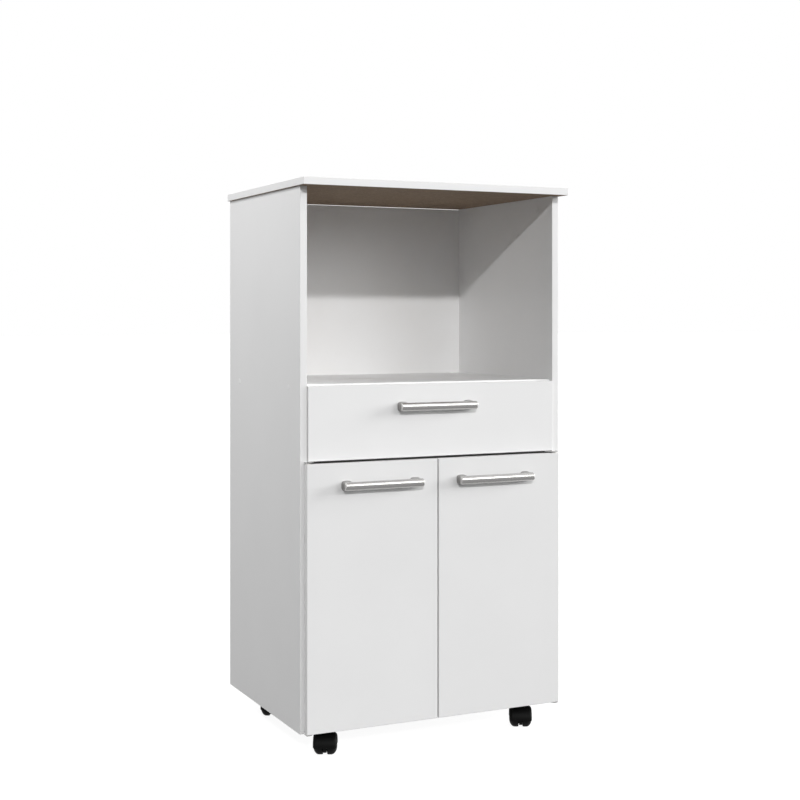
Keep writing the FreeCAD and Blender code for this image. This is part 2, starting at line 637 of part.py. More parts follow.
# Fasteners of the carcass
sunk_screws = [("-(half_carcass - long_screw_head_height)", y, z) for x, y, z in shelf_screws]
group("carcass_screws", into_sides(long_screw, sunk_screws, True))
group("screw_caps", into_sides(cap, shelf_screws, False))
group("dowels", into_sides(dowel, floor_dowels + rail_dowels, True) + driven(dowel, "-Z", top_dowels))
group("cam_bolts", into_sides(cam_bolt, floor_bolts + rail_bolts, True)
      + driven(cam_bolt, "-Z", top_bolts))
side_cams = grid(["-inner_half"], fitting_ys, ["cam_z"])
floor_cams = grid(["-cam_x", "cam_x"], fitting_ys, ["caster_height"])
rail_cams = grid(["-cam_x", "cam_x"], ["rail_cam_y"], ["rail_low"])
group("cam_locks", into_sides(cam_lock, side_cams, False) + driven(cam_lock, "+Z", floor_cams + rail_cams))
sunk_nails = [(x, "back_plane - nail_head_height", z)
              for x, y, z in side_nails + shelf_nails + floor_nails]
group("back_nails", driven(nail, "-Y", sunk_nails))

# Cabinet runner: a channel with the pin of its roller riveted into the web
runner = new_body("runner_cabinet_left", ("-inner_half", "runner_front", "runner_low"))
polygon(plane_sketch(runner, "Y", "0", "Channel"),
        [("0", "0"), ("runner_flange", "0"), ("runner_flange", "runner_steel"),
         ("runner_steel", "runner_steel"), ("runner_steel", "runner_height - runner_steel"),
         ("runner_flange", "runner_height - runner_steel"), ("runner_flange", "runner_height"),
         ("0", "runner_height")])
pad(runner, runner.Group[-1], "drawer_length", 1, "Y")
drill(runner, "X", "-inner_half", 1, runner_screws, "short_screw_radius + fit", "runner_steel")
pin = plane_sketch(runner, "X", "runner_steel / 2", "Pin")
circle(pin, "roller_inset", "cabinet_roller_z - runner_low", "roller_pin_radius")
pad(runner, pin, "runner_gap / 2 + roller_width / 2 - runner_steel / 2", 1, "X")
nodes.append(runner)
mirrored("runner_cabinet_right", runner)

# Rollers: one pair turns on the cabinet runners, the other on the drawer runners
roller = turned("Roller", [
    ("roller_pin_radius + running_fit", "-roller_width / 2"), ("roller_radius", "-roller_width / 2"),
    ("roller_radius", "roller_width / 2"), ("roller_pin_radius + running_fit", "roller_width / 2")])
for label, y, z in (("cabinet_rollers", "cabinet_roller_y", "cabinet_roller_z"),
                    ("drawer_rollers", "drawer_roller_y", "drawer_roller_z")):
    group(label, driven(roller, "+X", [("-roller_x", y, z), ("roller_x", y, z)]))

# Drawer front
front = board("drawer_front", ("-drawer_half", "drawer_face", "drawer_low"),
              "2 * drawer_half", "board", "drawer_front_height")
round_edges(front, "edge_round", lambda edge: edge.BoundBox.YMax < TOUCH)
drawer_dowel_zs = ["box_low + drawer_dowel_inset", "box_top - drawer_dowel_inset"]
drawer_dowels = grid(["-box_middle", "box_middle"], ["drawer_front_back"], drawer_dowel_zs)
drill(front, "Y", "drawer_front_back", -1, drawer_dowels, "drawer_dowel_radius + fit",
      "dowel_blind + fit")
groove = plane_sketch(front, "Y", "board", "Groove")
groove_left = "drawer_half - box_inner - groove_depth"
groove_right = "drawer_half + box_inner + groove_depth"
groove_bottom = "groove_low - fit - drawer_low"
groove_top = "groove_low + back_board + fit - drawer_low"
polygon(groove, [(groove_left, groove_bottom), (groove_right, groove_bottom),
                 (groove_right, groove_top), (groove_left, groove_top)])
pocket(front, groove, "groove_depth", -1, "Y")

# Drawer side, with the groove that holds the drawer bottom
side_board = board("drawer_side_left", ("-box_half", "drawer_front_back", "box_low"),
                   "drawer_board", "drawer_length", "drawer_side_height")
groove = plane_sketch(side_board, "X", "drawer_board", "Groove")
polygon(groove, [("0", "groove_rise - fit"), ("drawer_length", "groove_rise - fit"),
                 ("drawer_length", "groove_rise + back_board + fit"),
                 ("0", "groove_rise + back_board + fit")])
pocket(side_board, groove, "groove_depth", -1, "X")
left_dowels = [point for point in drawer_dowels if point[0].startswith("-")]
drill(side_board, "Y", "drawer_front_back", 1, left_dowels, "drawer_dowel_radius + fit",
      "drawer_dowel_length - dowel_blind + fit")
back_screws = grid(["-box_half"], ["box_back - drawer_board / 2"], drawer_dowel_zs)
drill(side_board, "X", "-box_half", 1, back_screws, "short_screw_radius + fit", "drawer_board")
foot_screws = grid(["-box_middle"], runner_screw_ys, ["box_low"])
foot_bite = "short_screw_length - runner_steel + fit"
drill(side_board, "Z", "box_low", 1, foot_screws, "short_screw_radius + fit", foot_bite)
mirrored("drawer_side_right", side_board)

# Drawer back, standing on the drawer bottom
box_back_board = board("drawer_back", ("-box_inner", "box_back - drawer_board", "drawer_back_low"),
                       "2 * box_inner", "drawer_board", "box_top - drawer_back_low")
for side, sign in ((1, "-"), (-1, "")):
    ends = [(sign + "box_inner", y, z) for x, y, z in back_screws]
    drill(box_back_board, "X", sign + "box_inner", side, ends, "short_screw_radius + fit",
          "middle_screw_length - drawer_board + fit")

# Drawer bottom in the grooves
board("drawer_bottom", ("-(box_inner + groove_depth - fit)", "drawer_front_back - groove_depth + fit",
                        "groove_low"),
      "2 * (box_inner + groove_depth - fit)", "drawer_length + groove_depth - fit", "back_board")

# Drawer runner: a lip over the cabinet roller, a web and a foot under the drawer side
slide = new_body("drawer_runner_left", ("-box_half", "drawer_front_back", "foot_low"))
lip = "lip_low - foot_low"
polygon(plane_sketch(slide, "Y", "0", "Section"),
        [("-runner_steel", "0"), ("drawer_runner_foot", "0"), ("drawer_runner_foot", "runner_steel"),
         ("0", "runner_steel"), ("0", lip + " + runner_steel"),
         ("-drawer_runner_lip", lip + " + runner_steel"), ("-drawer_runner_lip", lip),
         ("-runner_steel", lip)])
pad(slide, slide.Group[-1], "drawer_length", 1, "Y")
drill(slide, "Z", "foot_low", 1, foot_screws, "short_screw_radius + fit", "runner_steel")
pin = plane_sketch(slide, "X", "-runner_steel / 2", "Pin")
circle(pin, "drawer_length - roller_inset", "drawer_roller_z - foot_low", "roller_pin_radius")
pad(slide, pin, "runner_gap / 2 + roller_width / 2 - runner_steel / 2", -1, "X")
nodes.append(slide)
mirrored("drawer_runner_right", slide)

group("drawer_dowels", driven(drawer_dowel, "+Y", drawer_dowels))
foot_heads = [(x, y, "foot_low") for x, y, z in foot_screws]
foot_both = foot_heads + outward(foot_heads)[1]
group("drawer_screws", into_sides(middle_screw, back_screws, True)
      + driven(short_screw, "+Z", foot_both))

# Handle foot, tapered towards the bar, and the bar with its rounded front edges
foot = new_body("Handle foot")
polygon(plane_sketch(foot, "X", "-handle_foot_length / 2", "Section"),
        [("0", "-handle_foot_height / 2"), ("0", "handle_foot_height / 2"),
         ("-handle_stand", "handle_height / 2"), ("-handle_stand", "-handle_height / 2")])
pad(foot, foot.Group[-1], "handle_foot_length", 1, "X")
drill(foot, "Y", "0", -1, [("0", "0", "0")], "machine_screw_radius + fit", "machine_screw_bite + fit")


def handle(prefix, x, face, z):
    """A bar handle on a front whose face lies at a given depth. The holes go through the front."""
    holes = [("%s - handle_hole" % x, face, z), ("%s + handle_hole" % x, face, z)]
    bar = new_body(prefix + "_handle_bar", ("%s - handle_length / 2" % x, "%s - handle_reach" % face,
                                            "%s - handle_height / 2" % z))
    polygon(plane_sketch(bar, "X", "0", "Section"),
            [("0", "0"), ("handle_depth", "0"), ("handle_depth", "handle_height"),
             ("0", "handle_height")])
    pad(bar, bar.Group[-1], "handle_length", 1, "X")
    round_edges(bar, "handle_round",
                lambda edge: edge.BoundBox.YMax < TOUCH and edge.BoundBox.XLength > LONG_EDGE)
    nodes.append(bar)
    group(prefix + "_handle_feet", driven(foot, "+Z", holes))
    group(prefix + "_handle_screws", driven(machine_screw, "-Y",
                                            [(x, face + " + board", z) for x, face, z in holes]))
    return holes


holes = handle("drawer", "0", "drawer_face", "drawer_handle_z")
drill(front, "Y", "drawer_face", 1, holes, "machine_screw_radius + fit", "board")

# Left door, its outer rear edge chamfered so that it can turn past the side panel
door = board("door_left", ("-door_outer", "door_face", "door_low"),
             "door_width", "board", "door_height")
round_edges(door, "edge_round", lambda edge: edge.BoundBox.YMax < TOUCH)
doc.recompute()
rounded = door.Tip
corner_edge = ["Edge%d" % (i + 1) for i, edge in enumerate(rounded.Shape.Edges)
               if edge.BoundBox.XMax < TOUCH and near(edge.BoundBox.YMin, "board")
               and edge.BoundBox.ZLength > LONG_EDGE]
chamfer = door.newObject("PartDesign::Chamfer", "Chamfer")
chamfer.Base = (rounded, corner_edge)
chamfer.setExpression("Size", sized("door_chamfer"))
pivot = [("-pivot_x", "pivot_y", "door_top")]
drill(door, "Z", "door_top", -1, pivot, "bush_radius + fit", "bush_depth + fit")
drill(door, "Z", "door_low", 1, pivot, "bush_radius + fit", "bush_depth + fit")
holes = handle("door_left", "-door_handle_x", "door_face", "door_handle_z")
drill(door, "Y", "door_face", 1, holes, "machine_screw_radius + fit", "board")
mirrored("door_right", door)
handle("door_right", "door_handle_x", "door_face", "door_handle_z")

# Nylon bushes in the doors' upper and lower edges
bush = turned("Bush", [
    ("pivot_radius + running_fit", "-bush_collar"), ("bush_collar_radius", "-bush_collar"),
    ("bush_collar_radius", "0"), ("bush_radius", "0"), ("bush_radius", "bush_depth"),
    ("pivot_radius + running_fit", "bush_depth")])
for label, x in (("door_left_hinge_bushes", "-pivot_x"), ("door_right_hinge_bushes", "pivot_x")):
    group(label, driven(bush, "-Z", [(x, "pivot_y", "door_top")])
          + driven(bush, "+Z", [(x, "pivot_y", "door_low")]))

# Hinge plates: flat steel with a riveted pin, one above and one below each door
NOSE = [("-(pivot_x + hinge_nose_wing)", "front_plane - hinge_nose"),
        ("-(pivot_x - hinge_nose_wing)", "front_plane - hinge_nose"),
        ("-hinge_x", "front_plane"), ("-hinge_x", "front_plane + hinge_length"),
        ("-(hinge_x + hinge_width)", "front_plane + hinge_length"),
        ("-(hinge_x + hinge_width)", "front_plane - running_fit"),
        ("-(pivot_x + hinge_nose_wing)", "front_plane - running_fit")]


def hinge_plate(label, low, pin_level, towards, pin_length):
    """The plate for the left door, at its place in the cabinet."""
    body = new_body(label)
    outline = plane_sketch(body, "Z", low, "Outline")
    polygon(outline, NOSE)
    pad(body, outline, "hinge_steel")
    drill(body, "Z", low, 1, [("-hinge_screw_x", y, low) for y in hinge_screw_ys],
          "short_screw_radius + fit", "hinge_steel")
    pin = plane_sketch(body, "Z", pin_level, "Pin")
    circle(pin, "-pivot_x", "pivot_y", "pivot_radius")
    pad(body, pin, pin_length, towards)
    return body


gap_above = minus("rail_top", "door_top")
plates = [hinge_plate("Upper hinge plate", "rail_top", "rail_top + hinge_steel / 2", -1,
                      "hinge_steel / 2 + %s + pivot_length" % gap_above),
          hinge_plate("Lower hinge plate", "caster_height - hinge_steel",
                      "caster_height - hinge_steel / 2", 1,
                      "hinge_steel / 2 + door_bottom_reveal + pivot_length")]
unturned = Rotation()
twins = []
for plate in plates:
    twin = doc.addObject("Part::Mirroring", "Twin")
    twin.Source = plate
    twin.Base = Vector(0, 0, 0)
    twin.Normal = Vector(1, 0, 0)
    twins.append(twin)
group("hinge_plates", [(plate, ("0", "0", "0"), unturned) for plate in plates + twins])

# Magnetic catches under the rail and their strike plates on the doors
for label, sign in (("door_left_strike_plate", "-"), ("door_right_strike_plate", "")):
    board(label, (sign + "strike_x - strike_width / 2", "door_back", "strike_z - strike_height / 2"),
          "strike_width", "strike_steel", "strike_height")
magnet = new_body("Catch")
outline = plane_sketch(magnet, "Z", "-catch_height", "Outline")
polygon(outline, [("-catch_width / 2", "0"), ("catch_width / 2", "0"),
                  ("catch_width / 2", "catch_depth"), ("-catch_width / 2", "catch_depth")])
pad(magnet, outline, "catch_height")
group("door_catches", driven(magnet, "+Z", [(x, "catch_front", "rail_low")
                                            for x in ("-strike_x", "strike_x")]))

# Caster plate with its upright pin
plate = new_body("Caster plate")
outline = plane_sketch(plate, "Z", "plate_low", "Outline")
half_side = "caster_plate_side / 2"
polygon(outline, [("-" + half_side, "-" + half_side), (half_side, "-" + half_side),
                  (half_side, half_side), ("-" + half_side, half_side)])
pad(plate, outline, "caster_plate_steel")
corners_of_plate = [(x, y, "0") for x in ("-" + half_plate, half_plate)
                    for y in ("-" + half_plate, half_plate)]
drill(plate, "Z", "plate_low", 1, corners_of_plate, "short_screw_radius + fit", "caster_plate_steel")
pin = plane_sketch(plate, "Z", "caster_pin_low", "Pin")
circle(pin, "0", "0", "caster_pin_radius")
pad(plate, pin, "plate_low + caster_plate_steel / 2 - caster_pin_low")

# Caster hood: a cover over both wheels, a web between them, the boss and the axle
hood = new_body("Hood")
cover = plane_sketch(hood, "X", "-hood_half", "Cover")
circle(cover, "-caster_trail", "wheel_radius", "hood_outer")
circle(cover, "-caster_trail", "wheel_radius", "hood_inner")
pad(hood, cover, "2 * hood_half", 1, "X")


def trim_below(level, half_width):
    """Cuts the hood away below a level, over a width about the middle of the caster."""
    sketch = plane_sketch(hood, "X", "-(%s)" % half_width, "Trim")
    reach = "hood_outer + cut_margin"
    polygon(sketch, [("-caster_trail - " + reach, "-" + reach), ("-caster_trail + " + reach, "-" + reach),
                     ("-caster_trail + " + reach, level), ("-caster_trail - " + reach, level)])
    pocket(hood, sketch, "2 * (%s)" % half_width, 1, "X")


trim_below("wheel_radius", "hood_half + cut_margin")
web = plane_sketch(hood, "X", "-hood_web / 2", "Web")
circle(web, "-caster_trail", "wheel_radius", "hood_inner + hood_wall / 2")
pad(hood, web, "hood_web", 1, "X")
trim_below("wheel_radius - hood_web_low", "hood_web / 2 + cut_margin")
boss = plane_sketch(hood, "Z", "caster_boss_low", "Boss")
circle(boss, "0", "0", "caster_boss_radius")
pad(hood, boss, "hood_top - caster_boss_low")
drill(hood, "Z", "hood_top", -1, [("0", "0", "0")], "caster_pin_radius + running_fit",
      "hood_top - caster_pin_low + caster_hood_gap")
axle = plane_sketch(hood, "X", "-wheel_gap / 2 - axle_reach", "Axle")
circle(axle, "-caster_trail", "wheel_radius", "axle_radius")
pad(hood, axle, "wheel_gap + 2 * axle_reach", 1, "X")


def wheel(label, side):
    """A solid wheel on one end of the axle, dished outside and bored from the inside."""
    body = new_body(label)
    sketch = plane_sketch(body, "Y", "-caster_trail", "Profile")
    sketch.setExpression(".AttachmentOffset.Base.y", sized("wheel_radius"))
    inner = "%d * wheel_gap / 2" % side
    outer = "%d * (wheel_gap / 2 + wheel_width)" % side
    dish = "%d * (wheel_gap / 2 + wheel_width - wheel_dish)" % side
    bore_end = "%d * (wheel_gap / 2 + wheel_bore)" % side
    bore = "axle_radius + running_fit"
    polygon(sketch, [(inner, bore), (inner, "wheel_radius"), (outer, "wheel_radius"),
                     (outer, "wheel_dish_radius"), (dish, "wheel_dish_radius"), (dish, "0"),
                     (bore_end, "0"), (bore_end, bore)])
    spin = body.newObject("PartDesign::Revolution", "Spin")
    spin.Profile = sketch
    spin.ReferenceAxis = (sketch, ["H_Axis"])
    spin.Angle = 360
    round_edges(body, "wheel_round", lambda edge: near(edge.BoundBox.ZLength, "2 * wheel_radius")
                and edge.BoundBox.XLength < TOUCH)
    return body


wheels = {"left": wheel("Left wheel", -1), "right": wheel("Right wheel", 1)}
spots = {"front_left": ("-caster_x", "caster_front_y"), "front_right": ("caster_x", "caster_front_y"),
         "back_left": ("-caster_x", "caster_back_y"), "back_right": ("caster_x", "caster_back_y")}
turn = Rotation(Vector(0, 0, 1), number("caster_turn"))
group("caster_plates", [(plate, (x, y, "0"), unturned) for x, y in spots.values()])
for name, (x, y) in spots.items():
    group("caster_hood_" + name, [(hood, (x, y, "0"), turn)])
    for side in wheels:
        group("caster_wheel_%s_%s" % (name, side), [(wheels[side], (x, y, "0"), turn)])

# Short screws of the runners, the hinge plates and the casters
steel_heads = [("-(inner_half - runner_steel)", y, z) for x, y, z in runner_screws]
hinge_heads = [(x, y, "rail_top + hinge_steel") for x, y, z in hinge_screws]
lower_heads = [(x, y, "caster_height - hinge_steel") for x, y, z in hinge_screws]
caster_heads = [(x, y, "plate_low") for x, y, z in caster_screws]
group("fitting_screws", into_sides(short_screw, steel_heads, False)
      + driven(short_screw, "-Z", hinge_heads) + driven(short_screw, "+Z", lower_heads + caster_heads))

doc.recompute()

# Every object, hole and node is checked before anything is written
for item in doc.Objects:
    if "Invalid" in item.State or "Error" in item.State:
        raise RuntimeError("%s is in state %s" % (item.Label, item.State))
for body, before, after in cuts:
    if after.Shape.Volume >= before.Shape.Volume:
        raise RuntimeError("a cut of %s removes nothing" % body.Label)
os.makedirs("parts", exist_ok=True)
for node in nodes:
    shape = node.Shape
    if shape.isNull() or not shape.isValid():
        raise RuntimeError("the shape of %s is not valid" % node.Label)
    shape.exportStep("parts/%s.step" % node.Label)
print(len(nodes), "nodes written")
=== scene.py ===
import math

import bpy
import numpy as np
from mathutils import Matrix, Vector


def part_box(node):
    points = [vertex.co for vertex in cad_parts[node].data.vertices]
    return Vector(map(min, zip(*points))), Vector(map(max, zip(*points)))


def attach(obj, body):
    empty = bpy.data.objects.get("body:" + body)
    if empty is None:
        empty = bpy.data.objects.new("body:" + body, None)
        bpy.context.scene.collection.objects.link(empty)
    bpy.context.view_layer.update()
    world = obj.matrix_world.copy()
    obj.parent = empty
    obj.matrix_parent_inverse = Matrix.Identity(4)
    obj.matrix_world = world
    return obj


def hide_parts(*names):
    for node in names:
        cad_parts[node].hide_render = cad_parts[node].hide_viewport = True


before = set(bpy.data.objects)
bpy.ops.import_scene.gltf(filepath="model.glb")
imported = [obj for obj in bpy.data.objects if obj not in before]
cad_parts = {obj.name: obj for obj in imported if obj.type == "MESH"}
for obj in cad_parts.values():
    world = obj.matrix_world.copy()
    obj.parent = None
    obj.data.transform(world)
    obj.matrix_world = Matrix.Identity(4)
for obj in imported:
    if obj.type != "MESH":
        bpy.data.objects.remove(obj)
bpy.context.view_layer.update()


# The studio: a pale floor out to a white horizon, evenly bright air, four far lights, of which the
# low one from the front left draws the shadows, and a window lamp high on the left. The camera
# stands level, left of the cabinet, and its picture is shifted down.

picture_side = 800
focal_pixels = 1421.8
horizon_row = 316.8
sensor_width = 36.0
farthest_seen = 200.0
camera_place = (-1.3107, -2.7888, 0.8671)
camera_turn = -25.4

lens_data = bpy.data.cameras.new("camera")
lens_data.sensor_width = sensor_width
lens_data.lens = focal_pixels * sensor_width / picture_side
lens_data.shift_y = (horizon_row - picture_side / 2) / picture_side
lens_data.clip_end = farthest_seen
camera = bpy.data.objects.new("camera", lens_data)
camera.location = camera_place
camera.rotation_euler = (math.radians(90.0), 0.0, math.radians(camera_turn))
bpy.context.scene.collection.objects.link(camera)
bpy.context.scene.camera = camera
bpy.context.scene.view_settings.view_transform = "Standard"


def feed(tree, value, socket):
    """A node's input takes either another node's output or a plain value."""
    if isinstance(value, bpy.types.NodeSocket):
        tree.links.new(value, socket)
    else:
        socket.default_value = value


def calc(tree, operation, *values):
    """One Math node on sockets or numbers."""
    node = tree.nodes.new("ShaderNodeMath")
    node.operation = operation
    for socket, value in zip(node.inputs, values):
        feed(tree, value, socket)
    return node.outputs[0]


def seen_directly(tree):
    """1 on rays that look at the background, straight or in a reflection, and 0 on rays that gather
    light."""
    path = tree.nodes.new("ShaderNodeLightPath").outputs
    mirrored = calc(tree, "MAXIMUM", path["Is Glossy Ray"], path["Is Transmission Ray"])
    return calc(tree, "MAXIMUM", path["Is Camera Ray"], mirrored)


air_level = 0.16

world = bpy.data.worlds.new("studio_air")
world.use_nodes = True
bpy.context.scene.world = world
background = world.node_tree.nodes["Background"]
background.inputs["Color"].default_value = (1.0, 1.0, 1.0, 1.0)
tree = world.node_tree
brightening = calc(tree, "MULTIPLY", seen_directly(tree), 1.0 - air_level)
feed(tree, calc(tree, "ADD", brightening, air_level), background.inputs["Strength"])


def distant_light(name, towards, level, softness):
    """A far light: `towards` points from the cabinet to it, and a white surface that faces it shines
    at `level`."""
    data = bpy.data.lights.new(name, "SUN")
    data.energy = level * math.pi
    data.angle = math.radians(softness)
    lamp = bpy.data.objects.new(name, data)
    lamp.rotation_euler = Vector(towards).to_track_quat("Z", "Y").to_euler()
    bpy.context.scene.collection.objects.link(lamp)


distant_light("low_front_light", (-0.34, -0.94, 0.437), 0.43, 2.0)
distant_light("front_right_light", (0.42, -0.84, 0.35), 0.28, 34.0)
distant_light("grazing_right_light", (0.93, -0.28, 0.25), 0.66, 24.0)
distant_light("rear_light", (0.30, 0.85, 0.70), 0.26, 40.0)

window_side = 0.9
window_watts = 13.8
window_place = (-1.35, 0.1, 1.95)
window_back = (-1.2, 0.1, 1.2)

side_window = bpy.data.lights.new("side_window", "AREA")
side_window.shape = "SQUARE"
side_window.size = window_side
side_window.energy = window_watts
lamp = bpy.data.objects.new("side_window", side_window)
lamp.location = window_place
lamp.rotation_euler = Vector(window_back).to_track_quat("Z", "Y").to_euler()
lamp.visible_camera = False
bpy.context.scene.collection.objects.link(lamp)


def new_finish(name, **constants):
    """A material with its Principled shader, whose plain sockets are set by name, with _ for a space."""
    material = bpy.data.materials.new(name)
    material.use_nodes = True
    shader = material.node_tree.nodes["Principled BSDF"]
    for socket, value in constants.items():
        shader.inputs[socket.replace("_", " ")].default_value = value
    return material, material.node_tree, shader.inputs


def own_place(tree):
    """The point on the piece itself, in metres, so that a pattern moves with it."""
    return tree.nodes.new("ShaderNodeTexCoord").outputs["Object"]


def noise(tree, place, per_metre, detail=2.0, roughness=0.5):
    """Cloudy noise from 0 to 1 with `per_metre` clouds in a metre."""
    node = tree.nodes.new("ShaderNodeTexNoise")
    feed(tree, place, node.inputs["Vector"])
    feed(tree, per_metre, node.inputs["Scale"])
    node.inputs["Detail"].default_value = detail
    node.inputs["Roughness"].default_value = roughness
    return node.outputs[0]


def spread(tree, value, low, high, start=0.0, end=1.0):
    """The stretch from low to high becomes start to end, and stays there outside it."""
    node = tree.nodes.new("ShaderNodeMapRange")
    for socket, given in zip(node.inputs, (value, low, high, start, end)):
        feed(tree, given, socket)
    return node.outputs[0]


def between(tree, factor, first, second):
    """A colour that goes from first to second with the factor."""
    node = tree.nodes.new("ShaderNodeMix")
    node.data_type = "RGBA"
    feed(tree, factor, node.inputs[0])
    feed(tree, first, node.inputs[6])
    feed(tree, second, node.inputs[7])
    return node.outputs[2]


def relief(tree, height, depth, strength, normal_socket):
    """Height from 0 to 1 stands up by `depth` metres in the light's eyes."""
    node = tree.nodes.new("ShaderNodeBump")
    node.inputs["Strength"].default_value = strength
    node.inputs["Distance"].default_value = depth
    feed(tree, height, node.inputs["Height"])
    feed(tree, node.outputs[0], normal_socket)


def grey(level, warmth=0.0):
    """A shade written as on a screen, 0 to 255, as light; warmth lifts red and lowers blue by as many
    steps."""
    steps = np.array([level + warmth, level, level - warmth]) / 255.0
    return (*(((steps + 0.055) / 1.055) ** 2.4), 1.0)


floor_level = 0.93
floor_reach = 60.0
floor_clouds_per_metre = 0.8

material, tree, shader = new_finish("floor_paint", Roughness=0.9, Specular_IOR_Level=0.05)
clouds = noise(tree, own_place(tree), floor_clouds_per_metre)
feed(tree, between(tree, clouds, grey(125), grey(128)), shader["Base Color"])
glow = tree.nodes.new("ShaderNodeEmission")
feed(tree, calc(tree, "MULTIPLY", seen_directly(tree), floor_level), glow.inputs["Strength"])
both = tree.nodes.new("ShaderNodeAddShader")
tree.links.new(tree.nodes["Principled BSDF"].outputs[0], both.inputs[0])
tree.links.new(glow.outputs[0], both.inputs[1])
tree.links.new(both.outputs[0], tree.nodes["Material Output"].inputs["Surface"])

mesh = bpy.data.meshes.new("floor")
mesh.from_pydata([(-floor_reach, -floor_reach, 0), (floor_reach, -floor_reach, 0),
                  (floor_reach, floor_reach, 0), (-floor_reach, floor_reach, 0)], [], [(0, 1, 2, 3)])
mesh.materials.append(material)
floor = bpy.data.objects.new("floor", mesh)
bpy.context.scene.collection.objects.link(floor)

# A grey sheet lies on the floor in front of the cabinet and curves up behind the camera. It glows
# at a fixed grey and only shiny surfaces see it: a painted reflection that gives their lower halves
# the darker tone of a real room.

card_grey = 0.42
card_width = 6.0
card_near = -0.23
card_run = 3.6
card_height = 1.0
card_lift = 0.004
card_columns = 9
card_rows = 33

across, along = np.meshgrid(np.linspace(-0.5, 0.5, card_columns), np.linspace(0.0, 1.0, card_rows))
rise = np.clip(along * 2.0 - 1.0, 0.0, 1.0) ** 2
points = np.stack([across * card_width, card_near - card_run * along, card_lift + card_height * rise], -1)
first = (np.arange(card_rows - 1)[:, None] * card_columns + np.arange(card_columns - 1)).ravel()
mesh = bpy.data.meshes.new("grey_card")
mesh.from_pydata(points.reshape(-1, 3).tolist(), [],
                 np.stack([first, first + 1, first + card_columns + 1, first + card_columns], -1).tolist())
# The card glows at a fixed grey rather than being lit: a painted reflection.
material = new_finish("card_glowing_reflection", Base_Color=(0, 0, 0, 1), Roughness=1.0, Specular_IOR_Level=0.0,
                      Emission_Strength=1.0, Emission_Color=(card_grey, card_grey, card_grey, 1))[0]
mesh.materials.append(material)
card = bpy.data.objects.new("grey_card", mesh)
for ray in ("camera", "diffuse", "shadow", "transmission", "volume_scatter"):
    setattr(card, "visible_" + ray, False)
bpy.context.scene.collection.objects.link(card)


# The carcass: 15 mm chipboard faced with white melamine, most edges closed with a smooth white
# band. The top's underside is left raw, its brown chips painted darker as painted shade. The front
# edges of the rail and of the lowest board behind the doors are painted near black, a painted shade
# that darkens the gaps between the fronts. Cams, dowels and screws hold it.

def effect(name, inputs, outputs):
    """An effect that several finishes share: a group's tree, its inputs and its outputs, each given by
    name and kind."""
    group = bpy.data.node_groups.new(name, "ShaderNodeTree")
    for direction, sockets in (("INPUT", inputs), ("OUTPUT", outputs)):
        for socket, kind in sockets.items():
            group.interface.new_socket(socket, in_out=direction, socket_type="NodeSocket" + kind)
    entry = group.nodes.new("NodeGroupInput")
    leave = group.nodes.new("NodeGroupOutput")
    return group, entry.outputs, leave.inputs


def use(tree, group, **values):
    """Places a shared effect in a material and gives its outputs."""
    node = tree.nodes.new("ShaderNodeGroup")
    node.node_tree = group
    for socket, value in values.items():
        feed(tree, value, node.inputs[socket])
    return node.outputs


def measured(tree, vector, direction, absolute=True):
    """How far a vector lies along a direction, with or without its sign."""
    node = tree.nodes.new("ShaderNodeVectorMath")
    node.operation = "DOT_PRODUCT"
    feed(tree, vector, node.inputs[0])
    feed(tree, direction, node.inputs[1])
    return calc(tree, "ABSOLUTE", node.outputs["Value"]) if absolute else node.outputs["Value"]


def cells(tree, place, per_metre, feature="F1"):
    """Irregular cells, `per_metre` of them in a metre: the distance to each one's middle, and its own
    colour."""
    node = tree.nodes.new("ShaderNodeTexVoronoi")
    node.feature = feature
    feed(tree, place, node.inputs["Vector"])
    feed(tree, per_metre, node.inputs["Scale"])
    return node.outputs


fine_over_coarse = 2.3
coarse_share = 0.6
fine_share = 0.5
clouds_per_metre = 5.0

pearl_emboss, given, result = effect(
    "pearl_emboss", {"Place": "Vector", "Grain": "Float"}, {"Height": "Float", "Cloud": "Float"})
tree = pearl_emboss
dimples = cells(tree, given["Place"], given["Grain"], "SMOOTH_F1")["Distance"]
fine = noise(tree, given["Place"], calc(tree, "MULTIPLY", given["Grain"], fine_over_coarse), 3.0, 0.6)
feed(tree, calc(tree, "ADD", calc(tree, "MULTIPLY", dimples, coarse_share),
                calc(tree, "MULTIPLY", fine, fine_share)), result["Height"])
feed(tree, spread(tree, noise(tree, given["Place"], clouds_per_metre, 3.0), 0.3, 0.7), result["Cloud"])

banded_edge, given, result = effect(
    "banded_edge", {"Facing": "Vector"}, {"Edge": "Float", "Seam": "Float"})
tree = banded_edge
normal = tree.nodes.new("ShaderNodeTexCoord").outputs["Normal"]
broad = measured(tree, normal, given["Facing"])
feed(tree, spread(tree, broad, 0.55, 0.35), result["Edge"])
rising = spread(tree, broad, 0.05, 0.5)
falling = spread(tree, broad, 0.995, 0.8)
feed(tree, calc(tree, "MULTIPLY", rising, falling), result["Seam"])

scratches_per_metre = 55.0
scratch_width = 0.012
worn_patches_per_metre = 14.0

handling_marks, given, result = effect(
    "handling_marks", {"Place": "Vector", "Amount": "Float"}, {"Mark": "Float"})
tree = handling_marks
scratch_cells = cells(tree, given["Place"], scratches_per_metre, "DISTANCE_TO_EDGE")["Distance"]
line = spread(tree, scratch_cells, 0.0, scratch_width, 1.0, 0.0)
worn = spread(tree, noise(tree, given["Place"], worn_patches_per_metre, 4.0, 0.65), 0.55, 0.75)
feed(tree, calc(tree, "MULTIPLY", calc(tree, "MULTIPLY", line, worn), given["Amount"]), result["Mark"])

along_x, along_y, along_z = (1.0, 0.0, 0.0), (0.0, 1.0, 0.0), (0.0, 0.0, 1.0)
emboss_grain = 850.0
emboss_depth = 0.00006
emboss_strength = 0.35
board_marks = 0.25
mark_strength = 0.3
seam_strength = 0.18
cloud_shade = 0.975
band_roughness_step = -0.08
raw_roughness_step = 0.4
chips_per_metre = 420.0
chip_stretch = (0.45, 1.0, 1.0)
chip_share = 0.65
chip_height = 3.0
dust_per_metre = 2600.0


